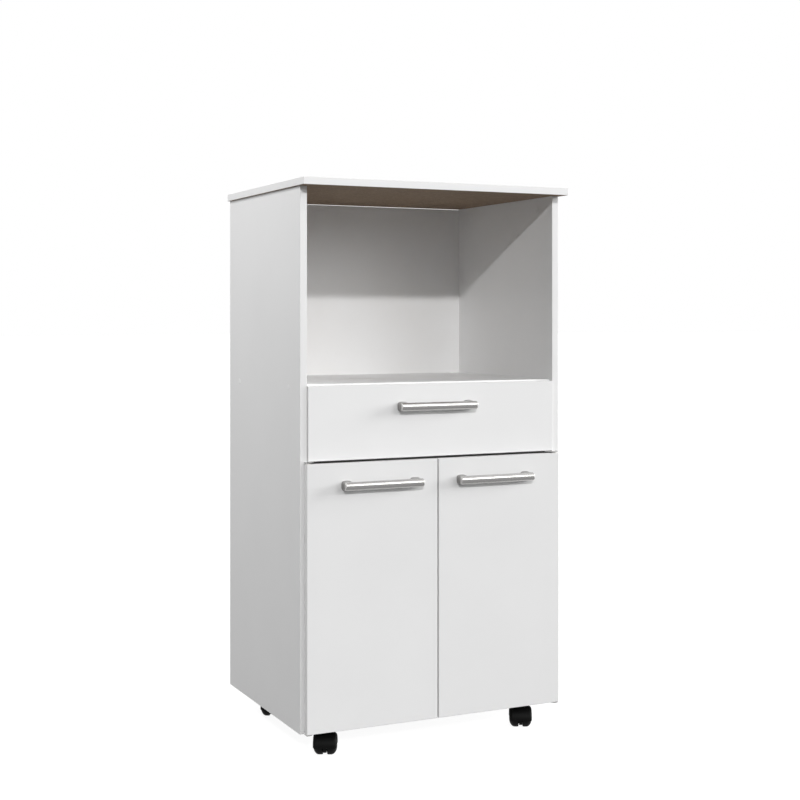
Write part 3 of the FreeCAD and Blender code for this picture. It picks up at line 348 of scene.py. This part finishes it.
def melamine(name, facing, face, band, raw_and_shaded_below=False):
    """Melamine board whose broad faces look along `facing`: pearly faces of one shade, smoother edges
    of another, a thin seam line between them, and where asked an underside of raw brown chips,
    painted darker than bare board as painted shade."""
    material, tree, shader = new_finish(name, IOR=1.5)
    place = own_place(tree)
    pearl = use(tree, pearl_emboss, Place=place, Grain=emboss_grain)
    edge = use(tree, banded_edge, Facing=facing)
    marks = use(tree, handling_marks, Place=place, Amount=board_marks)["Mark"]
    shaded = between(tree, pearl["Cloud"], face, tuple(cloud_shade * part for part in face[:3]) + (1.0,))
    colour = between(tree, edge["Edge"], shaded, band)
    colour = between(tree, calc(tree, "MULTIPLY", edge["Seam"], seam_strength), colour, grey(150, 6))
    colour = between(tree, calc(tree, "MULTIPLY", marks, mark_strength), colour, grey(190, 2))
    gloss = calc(tree, "ADD", spread(tree, pearl["Height"], 0.2, 0.8, 0.36, 0.48),
                 calc(tree, "MULTIPLY", edge["Edge"], band_roughness_step))
    height = calc(tree, "MULTIPLY", pearl["Height"], calc(tree, "SUBTRACT", 1.0, edge["Edge"]))
    if raw_and_shaded_below:
        normal = tree.nodes.new("ShaderNodeTexCoord").outputs["Normal"]
        below = spread(tree, measured(tree, normal, along_z, False), -0.7, -0.9)
        stretched = tree.nodes.new("ShaderNodeMapping")
        stretched.inputs["Scale"].default_value = chip_stretch
        feed(tree, place, stretched.inputs["Vector"])
        chips = cells(tree, stretched.outputs[0], chips_per_metre)
        dust = noise(tree, place, dust_per_metre, 4.0, 0.7)
        hue = calc(tree, "ADD", calc(tree, "MULTIPLY", measured(tree, chips["Color"], along_x), chip_share),
                   calc(tree, "MULTIPLY", dust, 1.0 - chip_share))
        # The chips' browns are darker than bare chipboard: partly the raw board's own colour, partly painted
        # shade.
        colour = between(tree, below, colour, between(tree, hue, grey(88, 18), grey(134, 22)))
        gloss = calc(tree, "ADD", gloss, calc(tree, "MULTIPLY", below, raw_roughness_step))
        bumps = calc(tree, "MULTIPLY", calc(tree, "MULTIPLY", hue, below), chip_height)
        height = calc(tree, "ADD", height, bumps)
    feed(tree, colour, shader["Base Color"])
    feed(tree, gloss, shader["Roughness"])
    relief(tree, height, emboss_depth, emboss_strength, shader["Normal"])
    return material


def dress(material, *names):
    """The named CAD pieces take the finish."""
    for name in names:
        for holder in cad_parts[name].material_slots:
            holder.material = material


board_white = grey(235)
band_white = grey(237)

dress(melamine("white_board_upright", along_x, board_white, grey(232)),
      "side_panel_left", "side_panel_right")
dress(melamine("white_board_flat", along_z, board_white, band_white), "inner_shelf")
# The niche shelf's front edge is painted whiter than the other bands: a painted highlight for the lit line
# above the drawer.
dress(melamine("white_shelf_painted_highlight", along_z, board_white, grey(248)), "niche_shelf")
# The rail and the bottom board get near black front edges: painted shade for the dark gap lines between the
# fronts.
dress(melamine("white_board_shade_painted_edge", along_z, board_white, grey(34, 4)), "drawer_rail", "bottom_panel")
# The top's underside: raw brown chips, painted darker than bare chipboard as painted shade under the top.
dress(melamine("white_top_raw_below", along_z, grey(236), grey(233), raw_and_shaded_below=True), "top_panel")


# The backs: two sheets of 3 mm hardboard, smooth white lacquer towards the room and the brown
# print of the press screen behind, nailed on all round. The drawer's bottom is the same sheet.

screen_per_metre = 650.0
screen_turn = (0.0, math.radians(7.0), math.radians(4.0))
lacquer_grain = 500.0
lacquer_height = 0.3
fibres_per_metre = 900.0
fibre_share = 0.75
blotch_strength = 0.25
hardboard_depth = 0.0001
hardboard_strength = 0.5


def hardboard(name, rough_side):
    """Lacquered hardboard whose bare side looks along `rough_side` and shows fibres and the press
    screen's weave."""
    material, tree, shader = new_finish(name, IOR=1.5)
    place = own_place(tree)
    normal = tree.nodes.new("ShaderNodeTexCoord").outputs["Normal"]
    brown = spread(tree, measured(tree, normal, rough_side, False), 0.4, 0.7)
    pearl = use(tree, pearl_emboss, Place=place, Grain=lacquer_grain)
    screen = tree.nodes.new("ShaderNodeMapping")
    screen.inputs["Rotation"].default_value = screen_turn
    feed(tree, place, screen.inputs["Vector"])
    split = tree.nodes.new("ShaderNodeSeparateXYZ")
    feed(tree, screen.outputs[0], split.inputs[0])
    waves = [calc(tree, "SINE", calc(tree, "MULTIPLY", axis, screen_per_metre * 2.0 * math.pi))
             for axis in split.outputs]
    crossed = calc(tree, "MULTIPLY", waves[0], calc(tree, "ADD", waves[1], waves[2]))
    weave = spread(tree, crossed, -1.0, 1.0)
    fibres = noise(tree, place, fibres_per_metre, 5.0, 0.7)
    tone = calc(tree, "ADD", calc(tree, "MULTIPLY", fibres, fibre_share),
                calc(tree, "MULTIPLY", weave, 1.0 - fibre_share))
    bare = between(tree, tone, grey(96, 26), grey(168, 30))
    bare = between(tree, calc(tree, "MULTIPLY", pearl["Cloud"], blotch_strength), bare, grey(104, 24))
    white = between(tree, pearl["Cloud"], grey(236), grey(231, 1))
    feed(tree, between(tree, brown, white, bare), shader["Base Color"])
    gloss = spread(tree, pearl["Height"], 0.0, 1.0, 0.3, 0.42)
    feed(tree, calc(tree, "ADD", calc(tree, "MULTIPLY", brown, raw_roughness_step), gloss),
         shader["Roughness"])
    height = calc(tree, "ADD", calc(tree, "MULTIPLY", pearl["Height"], lacquer_height),
                  calc(tree, "MULTIPLY", brown, tone))
    relief(tree, height, hardboard_depth, hardboard_strength, shader["Normal"])
    return material


dress(hardboard("hardboard_back", along_y), "back_panel_upper", "back_panel_lower")


# What holds the boards: zinc plated screws, nails and shelf pins, die cast cams with their
# bolts, and beech dowels. Most of it is only seen with a door or the drawer open.

streaks_per_metre = 3000.0
blotches_per_metre = 160.0
streak_share = 0.6
scratch_roughness = 0.2
skin_strength = 0.3

metal_skin, given, result = effect(
    "metal_skin", {"Place": "Vector", "Along": "Vector"}, {"Streak": "Float", "Blotch": "Float"})
tree = metal_skin
drawn = tree.nodes.new("ShaderNodeMapping")
feed(tree, given["Place"], drawn.inputs["Vector"])
feed(tree, given["Along"], drawn.inputs["Scale"])
feed(tree, noise(tree, drawn.outputs[0], streaks_per_metre, 4.0, 0.7), result["Streak"])
blotches = noise(tree, given["Place"], blotches_per_metre, 4.0, 0.6)
feed(tree, spread(tree, blotches, 0.3, 0.7), result["Blotch"])


def metal(name, dark, light, roughness, along=(1.0, 1.0, 1.0), depth=0.00003, marks=0.5, patchy=0.07):
    """Bare metal with fine streaks drawn out where `along` is small, slow blotches, a roughness that
    strays by `patchy`, and a few scratches."""
    material, tree, shader = new_finish(name, Metallic=1.0)
    place = own_place(tree)
    skin = use(tree, metal_skin, Place=place, Along=along)
    mark = use(tree, handling_marks, Place=place, Amount=marks)["Mark"]
    tone = calc(tree, "ADD", calc(tree, "MULTIPLY", skin["Streak"], streak_share),
                calc(tree, "MULTIPLY", skin["Blotch"], 1.0 - streak_share))
    feed(tree, between(tree, tone, dark, light), shader["Base Color"])
    dull = spread(tree, tone, 0.0, 1.0, roughness + patchy, roughness - patchy)
    feed(tree, calc(tree, "ADD", dull, calc(tree, "MULTIPLY", mark, scratch_roughness)), shader["Roughness"])
    relief(tree, calc(tree, "SUBTRACT", skin["Streak"], mark), depth, skin_strength, shader["Normal"])
    return material


zinc = metal("zinc_plated_steel", grey(176, -2), grey(214, 3), 0.34)
dress(zinc, "carcass_screws", "back_nails", "shelf_pins", "cam_bolts", "fitting_screws", "drawer_screws",
      "drawer_handle_screws", "door_left_handle_screws", "door_right_handle_screws")
dress(metal("die_cast_zinc", grey(150), grey(186), 0.5, depth=0.00008), "cam_locks")

beech_stretch = (0.12, 1.0, 1.0)
beech_fibres_per_metre = 1400.0

material, tree, shader = new_finish("beech", Roughness=0.6)
place = own_place(tree)
grain = tree.nodes.new("ShaderNodeMapping")
grain.inputs["Scale"].default_value = beech_stretch
feed(tree, place, grain.inputs["Vector"])
fibres = noise(tree, grain.outputs[0], beech_fibres_per_metre, 5.0, 0.6)
feed(tree, between(tree, fibres, grey(168, 34), grey(214, 26)), shader["Base Color"])
relief(tree, fibres, 0.0001, 0.5, shader["Normal"])
dress(material, "dowels", "drawer_dowels")


# The screw caps: thin white discs with a soft rim, stuck over the screw heads on both sides at
# the height of the niche shelf.

def softened(corners, reach, steps=6):
    """A run of straight lines with its inner corners rounded: each corner becomes the parabola that
    leaves the lines `reach` before and after it, or half a line's length where that is less."""
    corners = np.array(corners, float)
    middle = corners[1:-1]
    t = np.linspace(0.0, 1.0, steps)[None, :, None]
    ends = []
    for other in (corners[:-2], corners[2:]):
        line = other - middle
        length = np.linalg.norm(line, axis=1, keepdims=True)
        ends.append((middle + line * np.minimum(reach / length, 0.49))[:, None])
    curve = (1 - t) ** 2 * ends[0] + 2 * t * (1 - t) * middle[:, None] + t ** 2 * ends[1]
    return np.vstack([corners[:1], curve.reshape(-1, corners.shape[1]), corners[-1:]])


def turned(centre, axis, profile, around=48):
    """Rings of a turned shape: a profile of (distance along the axis, radius) carried round the axis."""
    axis = np.array(axis, float) / np.linalg.norm(axis)
    side = np.cross(axis, (0.0, 0.0, 1.0) if abs(axis[2]) < 0.9 else (1.0, 0.0, 0.0))
    side /= np.linalg.norm(side)
    up = np.cross(axis, side)
    angle = np.linspace(0.0, 2 * np.pi, around, endpoint=False)[None, :, None]
    reach, radius = profile[:, 0, None, None], profile[:, 1, None, None]
    return np.array(centre) + axis * reach + radius * (np.cos(angle) * side + np.sin(angle) * up)


def skin_over(rings):
    """A closed skin over a stack of rings: point j of a ring meets point j of the next, and the middle
    of the first and of the last ring closes each end. The sign of its volume turns its faces outwards."""
    count, around = rings.shape[:2]
    points = np.vstack([rings.reshape(-1, 3), rings[0].mean(0), rings[-1].mean(0)])
    here = np.arange(around)
    beside = (here + 1) % around
    start = np.arange(count - 1)[:, None] * around
    quads = np.stack([start + here, start + beside, start + around + beside, start + around + here], -1)
    quads = quads.reshape(-1, 4)
    last = (count - 1) * around
    pole = np.full(around, count * around)
    fans = np.vstack([np.stack([beside, here, pole], -1),
                      np.stack([last + here, last + beside, pole + 1], -1)])
    corners = points[np.vstack([quads[:, :3], quads[:, [0, 2, 3]], fans])]
    volume = np.einsum("ij,ij->", np.cross(corners[:, 0], corners[:, 1]), corners[:, 2])
    if volume < 0:
        quads, fans = quads[:, ::-1], fans[:, ::-1]
    return points, quads.tolist() + fans.tolist()


def new_piece(name, material, body, slot, *skins, sharp=40.0):
    """A piece of one or more closed skins, shaded smooth up to the sharp angle, that rides on a body."""
    points, faces, offset = [], [], 0
    for skin_points, skin_faces in skins:
        points.append(skin_points)
        faces += [[corner + offset for corner in face] for face in skin_faces]
        offset += len(skin_points)
    mesh = bpy.data.meshes.new(name)
    mesh.from_pydata(np.vstack(points).tolist(), [], faces)
    mesh.shade_smooth()
    mesh.set_sharp_from_angle(angle=math.radians(sharp))
    mesh.materials.append(material)
    piece = bpy.data.objects.new(name, mesh)
    bpy.context.scene.collection.objects.link(piece)
    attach(piece, body)
    return piece


plastic_scratch_roughness = 0.25


def moulded(name, light, dark, roughness, grain=1600.0, depth=0.00003, amount=0.4, **constants):
    """Moulded plastic or paint: a fine even skin, a slow change of shade, and a few marks of use."""
    material, tree, shader = new_finish(name, **constants)
    place = own_place(tree)
    pearl = use(tree, pearl_emboss, Place=place, Grain=grain)
    mark = use(tree, handling_marks, Place=place, Amount=amount)["Mark"]
    feed(tree, between(tree, pearl["Cloud"], light, dark), shader["Base Color"])
    gloss = spread(tree, pearl["Height"], 0.2, 0.8, roughness - 0.04, roughness + 0.05)
    worn_gloss = calc(tree, "ADD", gloss, calc(tree, "MULTIPLY", mark, plastic_scratch_roughness))
    feed(tree, worn_gloss, shader["Roughness"])
    relief(tree, calc(tree, "SUBTRACT", pearl["Height"], mark), depth, skin_strength, shader["Normal"])
    return material


pole_radius = 0.0002

cap_finish = moulded("white_cap_plastic", grey(238), grey(233), 0.3)
cap_low, cap_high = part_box("screw_caps")
cap_radius = (cap_high.z - cap_low.z) / 2
cap_height = 0.0006
panel_outside = cap_high.x - cap_height
cap_round = 0.0004
cap_profile = softened([(0.0, pole_radius), (0.0, cap_radius), (cap_height * 0.7, cap_radius * 0.97),
                        (cap_height, cap_radius * 0.8), (cap_height * 0.8, pole_radius)], cap_round)
for side_name, side in (("left", -1), ("right", 1)):
    for end_name, depth in (("front", cap_low.y + cap_radius), ("back", cap_high.y - cap_radius)):
        centre = (side * panel_outside, depth, (cap_low.z + cap_high.z) / 2)
        cap = new_piece("screw_cap_" + side_name + "_" + end_name, cap_finish, "cabinet", "white_cap",
                        skin_over(turned(centre, (side, 0, 0), cap_profile)))
        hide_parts("screw_caps")


# The cams under the top would show inside the niche, so each is closed with a white push-in cap,
# a thin disc with a soft rim that lies on the wall.

cam_inset = 0.064
cam_below_top = 0.024
cam_cap_radius = 0.0085
cam_cap_rim = 0.0008
cam_cap_height = 0.0012
cam_cap_round = 0.0005
cam_cap_profile = softened([(0.0, pole_radius), (0.0, cam_cap_radius), (cam_cap_rim, cam_cap_radius * 0.96),
                            (cam_cap_height, cam_cap_radius * 0.8), (cam_cap_height, pole_radius)],
                           cam_cap_round)
for side_name, side in (("left", -1), ("right", 1)):
    wall_low, wall_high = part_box("side_panel_" + side_name)
    inner_face = min(abs(wall_low.x), abs(wall_high.x))
    for end_name, depth in (("front", wall_low.y + cam_inset), ("back", wall_high.y - cam_inset)):
        centre = (side * inner_face, depth, wall_high.z - cam_below_top)
        new_piece("cam_cap_" + side_name + "_" + end_name, cap_finish, "cabinet", "white_cap",
                  skin_over(turned(centre, (-side, 0, 0), cam_cap_profile)))


# The runners: white powder coated channels, a pair on the carcass and a pair under the drawer's
# sides, each with one nylon roller on a rivet.

dress(moulded("runner_paint", grey(232), grey(226), 0.35, grain=700.0, depth=0.00008, amount=0.8),
      "runner_cabinet_left", "runner_cabinet_right", "drawer_runner_left", "drawer_runner_right")
nylon = moulded("white_nylon", grey(228, 3), grey(220, 4), 0.32, Subsurface_Weight=0.15,
                Subsurface_Radius=(0.002, 0.002, 0.002))
dress(nylon, "cabinet_rollers", "drawer_rollers", "door_left_hinge_bushes", "door_right_hinge_bushes")


# The drawer: a thick white front, and a box of 12 mm foil wrapped board with the hardboard
# bottom in its grooves. The doors are single boards of the same white, painted a touch greyer
# than the drawer's front as painted shade for the lower front.

dress(melamine("white_drawer_front", along_y, grey(234), band_white), "drawer_front")
# The doors' white is a touch greyer than the drawer front's: painted shade for the darker lower front.
dress(melamine("white_doors_painted_shade", along_y, grey(230), grey(234)), "door_left", "door_right")
foil_white = grey(228, 1)
dress(melamine("foil_board_side", along_x, foil_white, grey(232)), "drawer_side_left", "drawer_side_right")
dress(melamine("foil_board_back", along_y, foil_white, grey(232)), "drawer_back")
dress(hardboard("hardboard_bottom", (0.0, 0.0, -1.0)), "drawer_bottom")


# The handles: a satin nickel bar with a flat back and a round front, on two cast feet that widen
# towards the board, each held by a screw from behind.

nickel = metal("satin_nickel", grey(190, 1), grey(202, 2), 0.22, along=(0.02, 1.0, 1.0), depth=0.000001,
               marks=0.05, patchy=0.02)
foot_finish = metal("foot_nickel", grey(142, 1), grey(154, 2), 0.34, depth=0.000004, marks=0.05, patchy=0.02)
bar_round = 0.0075
bar_back_round = 0.0008
bar_end_round = 0.0022
bar_end_rings = 7
least_round = 0.00005
foot_length = 0.022
foot_edge = 0.0007
foot_squareness = 3.5
foot_fall = 0.8
foot_points = 72


def d_outline(depth, height, inset, steps=14):
    """The bar's outline as (forward, up): four quarter circles, small behind and large in front, all
    drawn in by the inset and joined by straight lines."""
    quarter = np.linspace(0.0, np.pi / 2, steps)
    points = []
    for number, (forward, up, radius) in enumerate(((1, 1, bar_round), (0, 1, bar_back_round),
                                                    (0, -1, bar_back_round), (1, -1, bar_round))):
        radius = max(radius - inset, least_round)
        reach = depth - inset - radius if forward else inset + radius
        middle = np.array([reach, up * (height / 2 - inset - radius)])
        angle = quarter + number * np.pi / 2
        points.append(middle + radius * np.stack([np.cos(angle), np.sin(angle)], -1))
    return np.vstack(points)


def handle_bar(low, high):
    """The D outline carried along X; over the last millimetres it draws in on a quarter circle."""
    turn = np.linspace(np.pi / 2, 0.0, bar_end_rings)
    insets = bar_end_round * (1 - np.cos(turn))
    offsets = bar_end_round * (1 - np.sin(turn))
    stations = np.concatenate([low.x + offsets, high.x - offsets[::-1]])
    rings = []
    for station, inset in zip(stations, np.concatenate([insets, insets[::-1]])):
        outline = d_outline(high.y - low.y, high.z - low.z, inset)
        rings.append(np.stack([np.full(len(outline), station), high.y - outline[:, 0],
                               (low.z + high.z) / 2 + outline[:, 1]], -1))
    return skin_over(np.array(rings))


def handle_foot(middle, back, front, middle_height, length, back_height, front_height):
    """A squared ellipse, |x/a|^n + |z/b|^n = 1, carried from the board to the bar while its height
    falls; its first and last rings are drawn in by a small edge."""
    angle = np.linspace(0.0, 2 * np.pi, foot_points, endpoint=False)
    power = 2 / foot_squareness
    squared = [np.sign(wave) * np.abs(wave) ** power for wave in (np.cos(angle), np.sin(angle))]
    share = np.array([0.0, 0.02, 0.06, 0.25, 0.5, 0.75, 0.97, 1.0])[:, None]
    inset = foot_edge * np.array([1.0, 0.3, 0.0, 0.0, 0.0, 0.0, 0.0, 0.4])[:, None]
    tall = back_height + (front_height - back_height) * share ** foot_fall
    across = middle + (length / 2 - inset) * squared[0]
    up = middle_height + (tall / 2 - inset) * squared[1]
    reach = np.broadcast_to(back + (front - back) * share, across.shape)
    return skin_over(np.stack([across, reach, up], -1))


for owner in ("drawer", "door_left", "door_right"):
    bar_low, bar_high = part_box(owner + "_handle_bar")
    foot_low, foot_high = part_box(owner + "_handle_feet")
    bar = new_piece(owner + "_bar", nickel, owner, "handle_metal", handle_bar(bar_low, bar_high))
    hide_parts(owner + "_handle_bar")
    middle_height = (foot_low.z + foot_high.z) / 2
    for end_name, middle in (("left", foot_low.x + foot_length / 2),
                             ("right", foot_high.x - foot_length / 2)):
        foot = new_piece(owner + "_foot_" + end_name, foot_finish, owner, "handle_foot",
                         handle_foot(middle, foot_high.y, foot_low.y, middle_height, foot_length,
                                     foot_high.z - foot_low.z, bar_high.z - bar_low.z))
        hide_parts(owner + "_handle_feet")


# The hinges and catches: flat zinc plates with a pivot pin at the doors' corners, like the plates
# over the casters, and two white magnetic catches with a thin steel strike plate on each door.

plate = metal("zinc_plated_sheet", grey(184, -1), grey(216, 2), 0.28, along=(1.0, 0.1, 1.0))
dress(plate, "hinge_plates", "caster_plates", "door_left_strike_plate", "door_right_strike_plate")
dress(moulded("catch_plastic", grey(230), grey(224), 0.4), "door_catches")


# The casters: a dull black hood on an upright pin, over two domed black wheels that turn on their
# own. A web between the wheels carries the axle, and all four stand turned the same way.

hood_black = moulded("hood_black", grey(5), grey(9), 0.55, amount=0.3, Specular_IOR_Level=0.08)
wheel_black = moulded("wheel_black", grey(6), grey(11), 0.6, amount=0.6, Specular_IOR_Level=0.1)
caster_turn = math.radians(-27.0)
caster_trail = 0.026
axle = np.array([math.cos(caster_turn), math.sin(caster_turn), 0.0])
trail = np.array([-math.sin(caster_turn), math.cos(caster_turn), 0.0])
upright = np.array([0.0, 0.0, 1.0])
hood_half_width = 0.0235
hood_middle_radius = 0.0221
hood_half_wall = 0.00105
hood_shoulder = 0.0055
hood_lip_angle = 0.15
hood_below_axle = math.radians(8.0)
hood_bend_points = 12
hood_lip_points = 7
hood_rings = 61
web_half_width = 0.0033
web_radius = 0.0213
web_foot = 0.014
web_edge = 0.0007
web_points = 96
web_blend = 12.0
least_slope = 0.05
wheel_points = 72
wheel_round = 0.0016
wheel_profile = softened([(-0.0102, pole_radius), (-0.0102, 0.0190), (-0.0090, 0.0200), (-0.0004, 0.0200),
                          (0.0026, 0.0186), (0.0051, 0.0161), (0.0070, 0.0133), (0.0083, 0.0102),
                          (0.0089, 0.0065), (0.0090, pole_radius)], wheel_round)
neck_round = 0.0012
neck_profile = softened([(0.0160, pole_radius), (0.0160, 0.0052), (0.0330, 0.0054), (0.0360, 0.0086),
                         (0.0430, 0.0082), (0.0469, 0.0068), (0.0469, pole_radius)], neck_round)


def hood_shell(centre):
    """A wall of even thickness along a flat line whose two ends bend down on quarter circles, closed at
    its lips by half circles, and all of it carried round the axle from just below it in front to just
    below it behind."""
    bend = np.linspace(np.pi / 2, hood_lip_angle, hood_bend_points)
    bend = np.concatenate([np.pi - bend[::-1], bend])
    shoulder = (hood_half_width - hood_half_wall - hood_shoulder) * np.repeat([-1.0, 1.0], hood_bend_points)
    height = np.full(2 * hood_bend_points, hood_middle_radius - hood_shoulder)
    normal = np.stack([np.cos(bend), np.sin(bend)], -1)
    middle = np.stack([shoulder, height], -1) + hood_shoulder * normal
    lip = np.linspace(0.0, np.pi, hood_lip_points)[1:-1, None]
    down = [np.array([-normal[0, 1], normal[0, 0]]), np.array([normal[-1, 1], -normal[-1, 0]])]
    right_lip = middle[-1] + hood_half_wall * (np.cos(lip) * normal[-1] + np.sin(lip) * down[1])
    left_lip = middle[0] + hood_half_wall * (-np.cos(lip) * normal[0] + np.sin(lip) * down[0])
    outline = np.vstack([middle + hood_half_wall * normal, right_lip,
                         (middle - hood_half_wall * normal)[::-1], left_lip])
    angle = np.linspace(-hood_below_axle, np.pi + hood_below_axle, hood_rings)[:, None, None]
    arm = np.cos(angle) * trail + np.sin(angle) * upright
    return skin_over(centre + outline[None, :, :1] * axle + outline[None, :, 1:] * arm)


def hood_web(centre):
    """A disc with a flat foot: its radius is the smooth lesser of the disc's and of the foot's line, and
    the first and last rings are drawn in."""
    spin = np.linspace(0.0, 2 * np.pi, web_points, endpoint=False)
    line = np.where(np.sin(spin) < -least_slope, web_foot / np.maximum(-np.sin(spin), least_slope), 1.0)
    radius = (web_radius ** -web_blend + line ** -web_blend) ** (-1 / web_blend)
    share = np.array([-1.0, -0.96, -0.85, 0.85, 0.96, 1.0])
    inset = web_edge * np.array([1.0, 0.4, 0.0, 0.0, 0.4, 1.0])
    arm = np.cos(spin)[:, None] * trail + np.sin(spin)[:, None] * upright
    return skin_over(centre + (share * web_half_width)[:, None, None] * axle
                     + (radius[None, :] - inset[:, None])[:, :, None] * arm)


for corner_name in ("front_left", "front_right", "back_left", "back_right"):
    wheels = {}
    for side_name, outward in (("left", -1.0), ("right", 1.0)):
        wheel_name = corner_name + "_" + side_name
        low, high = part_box("caster_wheel_" + wheel_name)
        wheels[side_name] = np.array((low + high) / 2)
        disc = skin_over(turned(wheels[side_name], outward * axle, wheel_profile, wheel_points))
        wheel = new_piece("wheel_" + wheel_name + "_disc", wheel_black, "wheel_" + wheel_name,
                          "wheel_plastic", disc)
        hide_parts("caster_wheel_" + wheel_name)
    middle = (wheels["left"] + wheels["right"]) / 2
    pin = middle + caster_trail * trail
    hood = new_piece("hood_" + corner_name, hood_black, "caster_" + corner_name, "caster_plastic",
                     hood_shell(middle), hood_web(middle),
                     skin_over(turned((pin[0], pin[1], 0.0), upright, neck_profile)))
    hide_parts("caster_hood_" + corner_name)
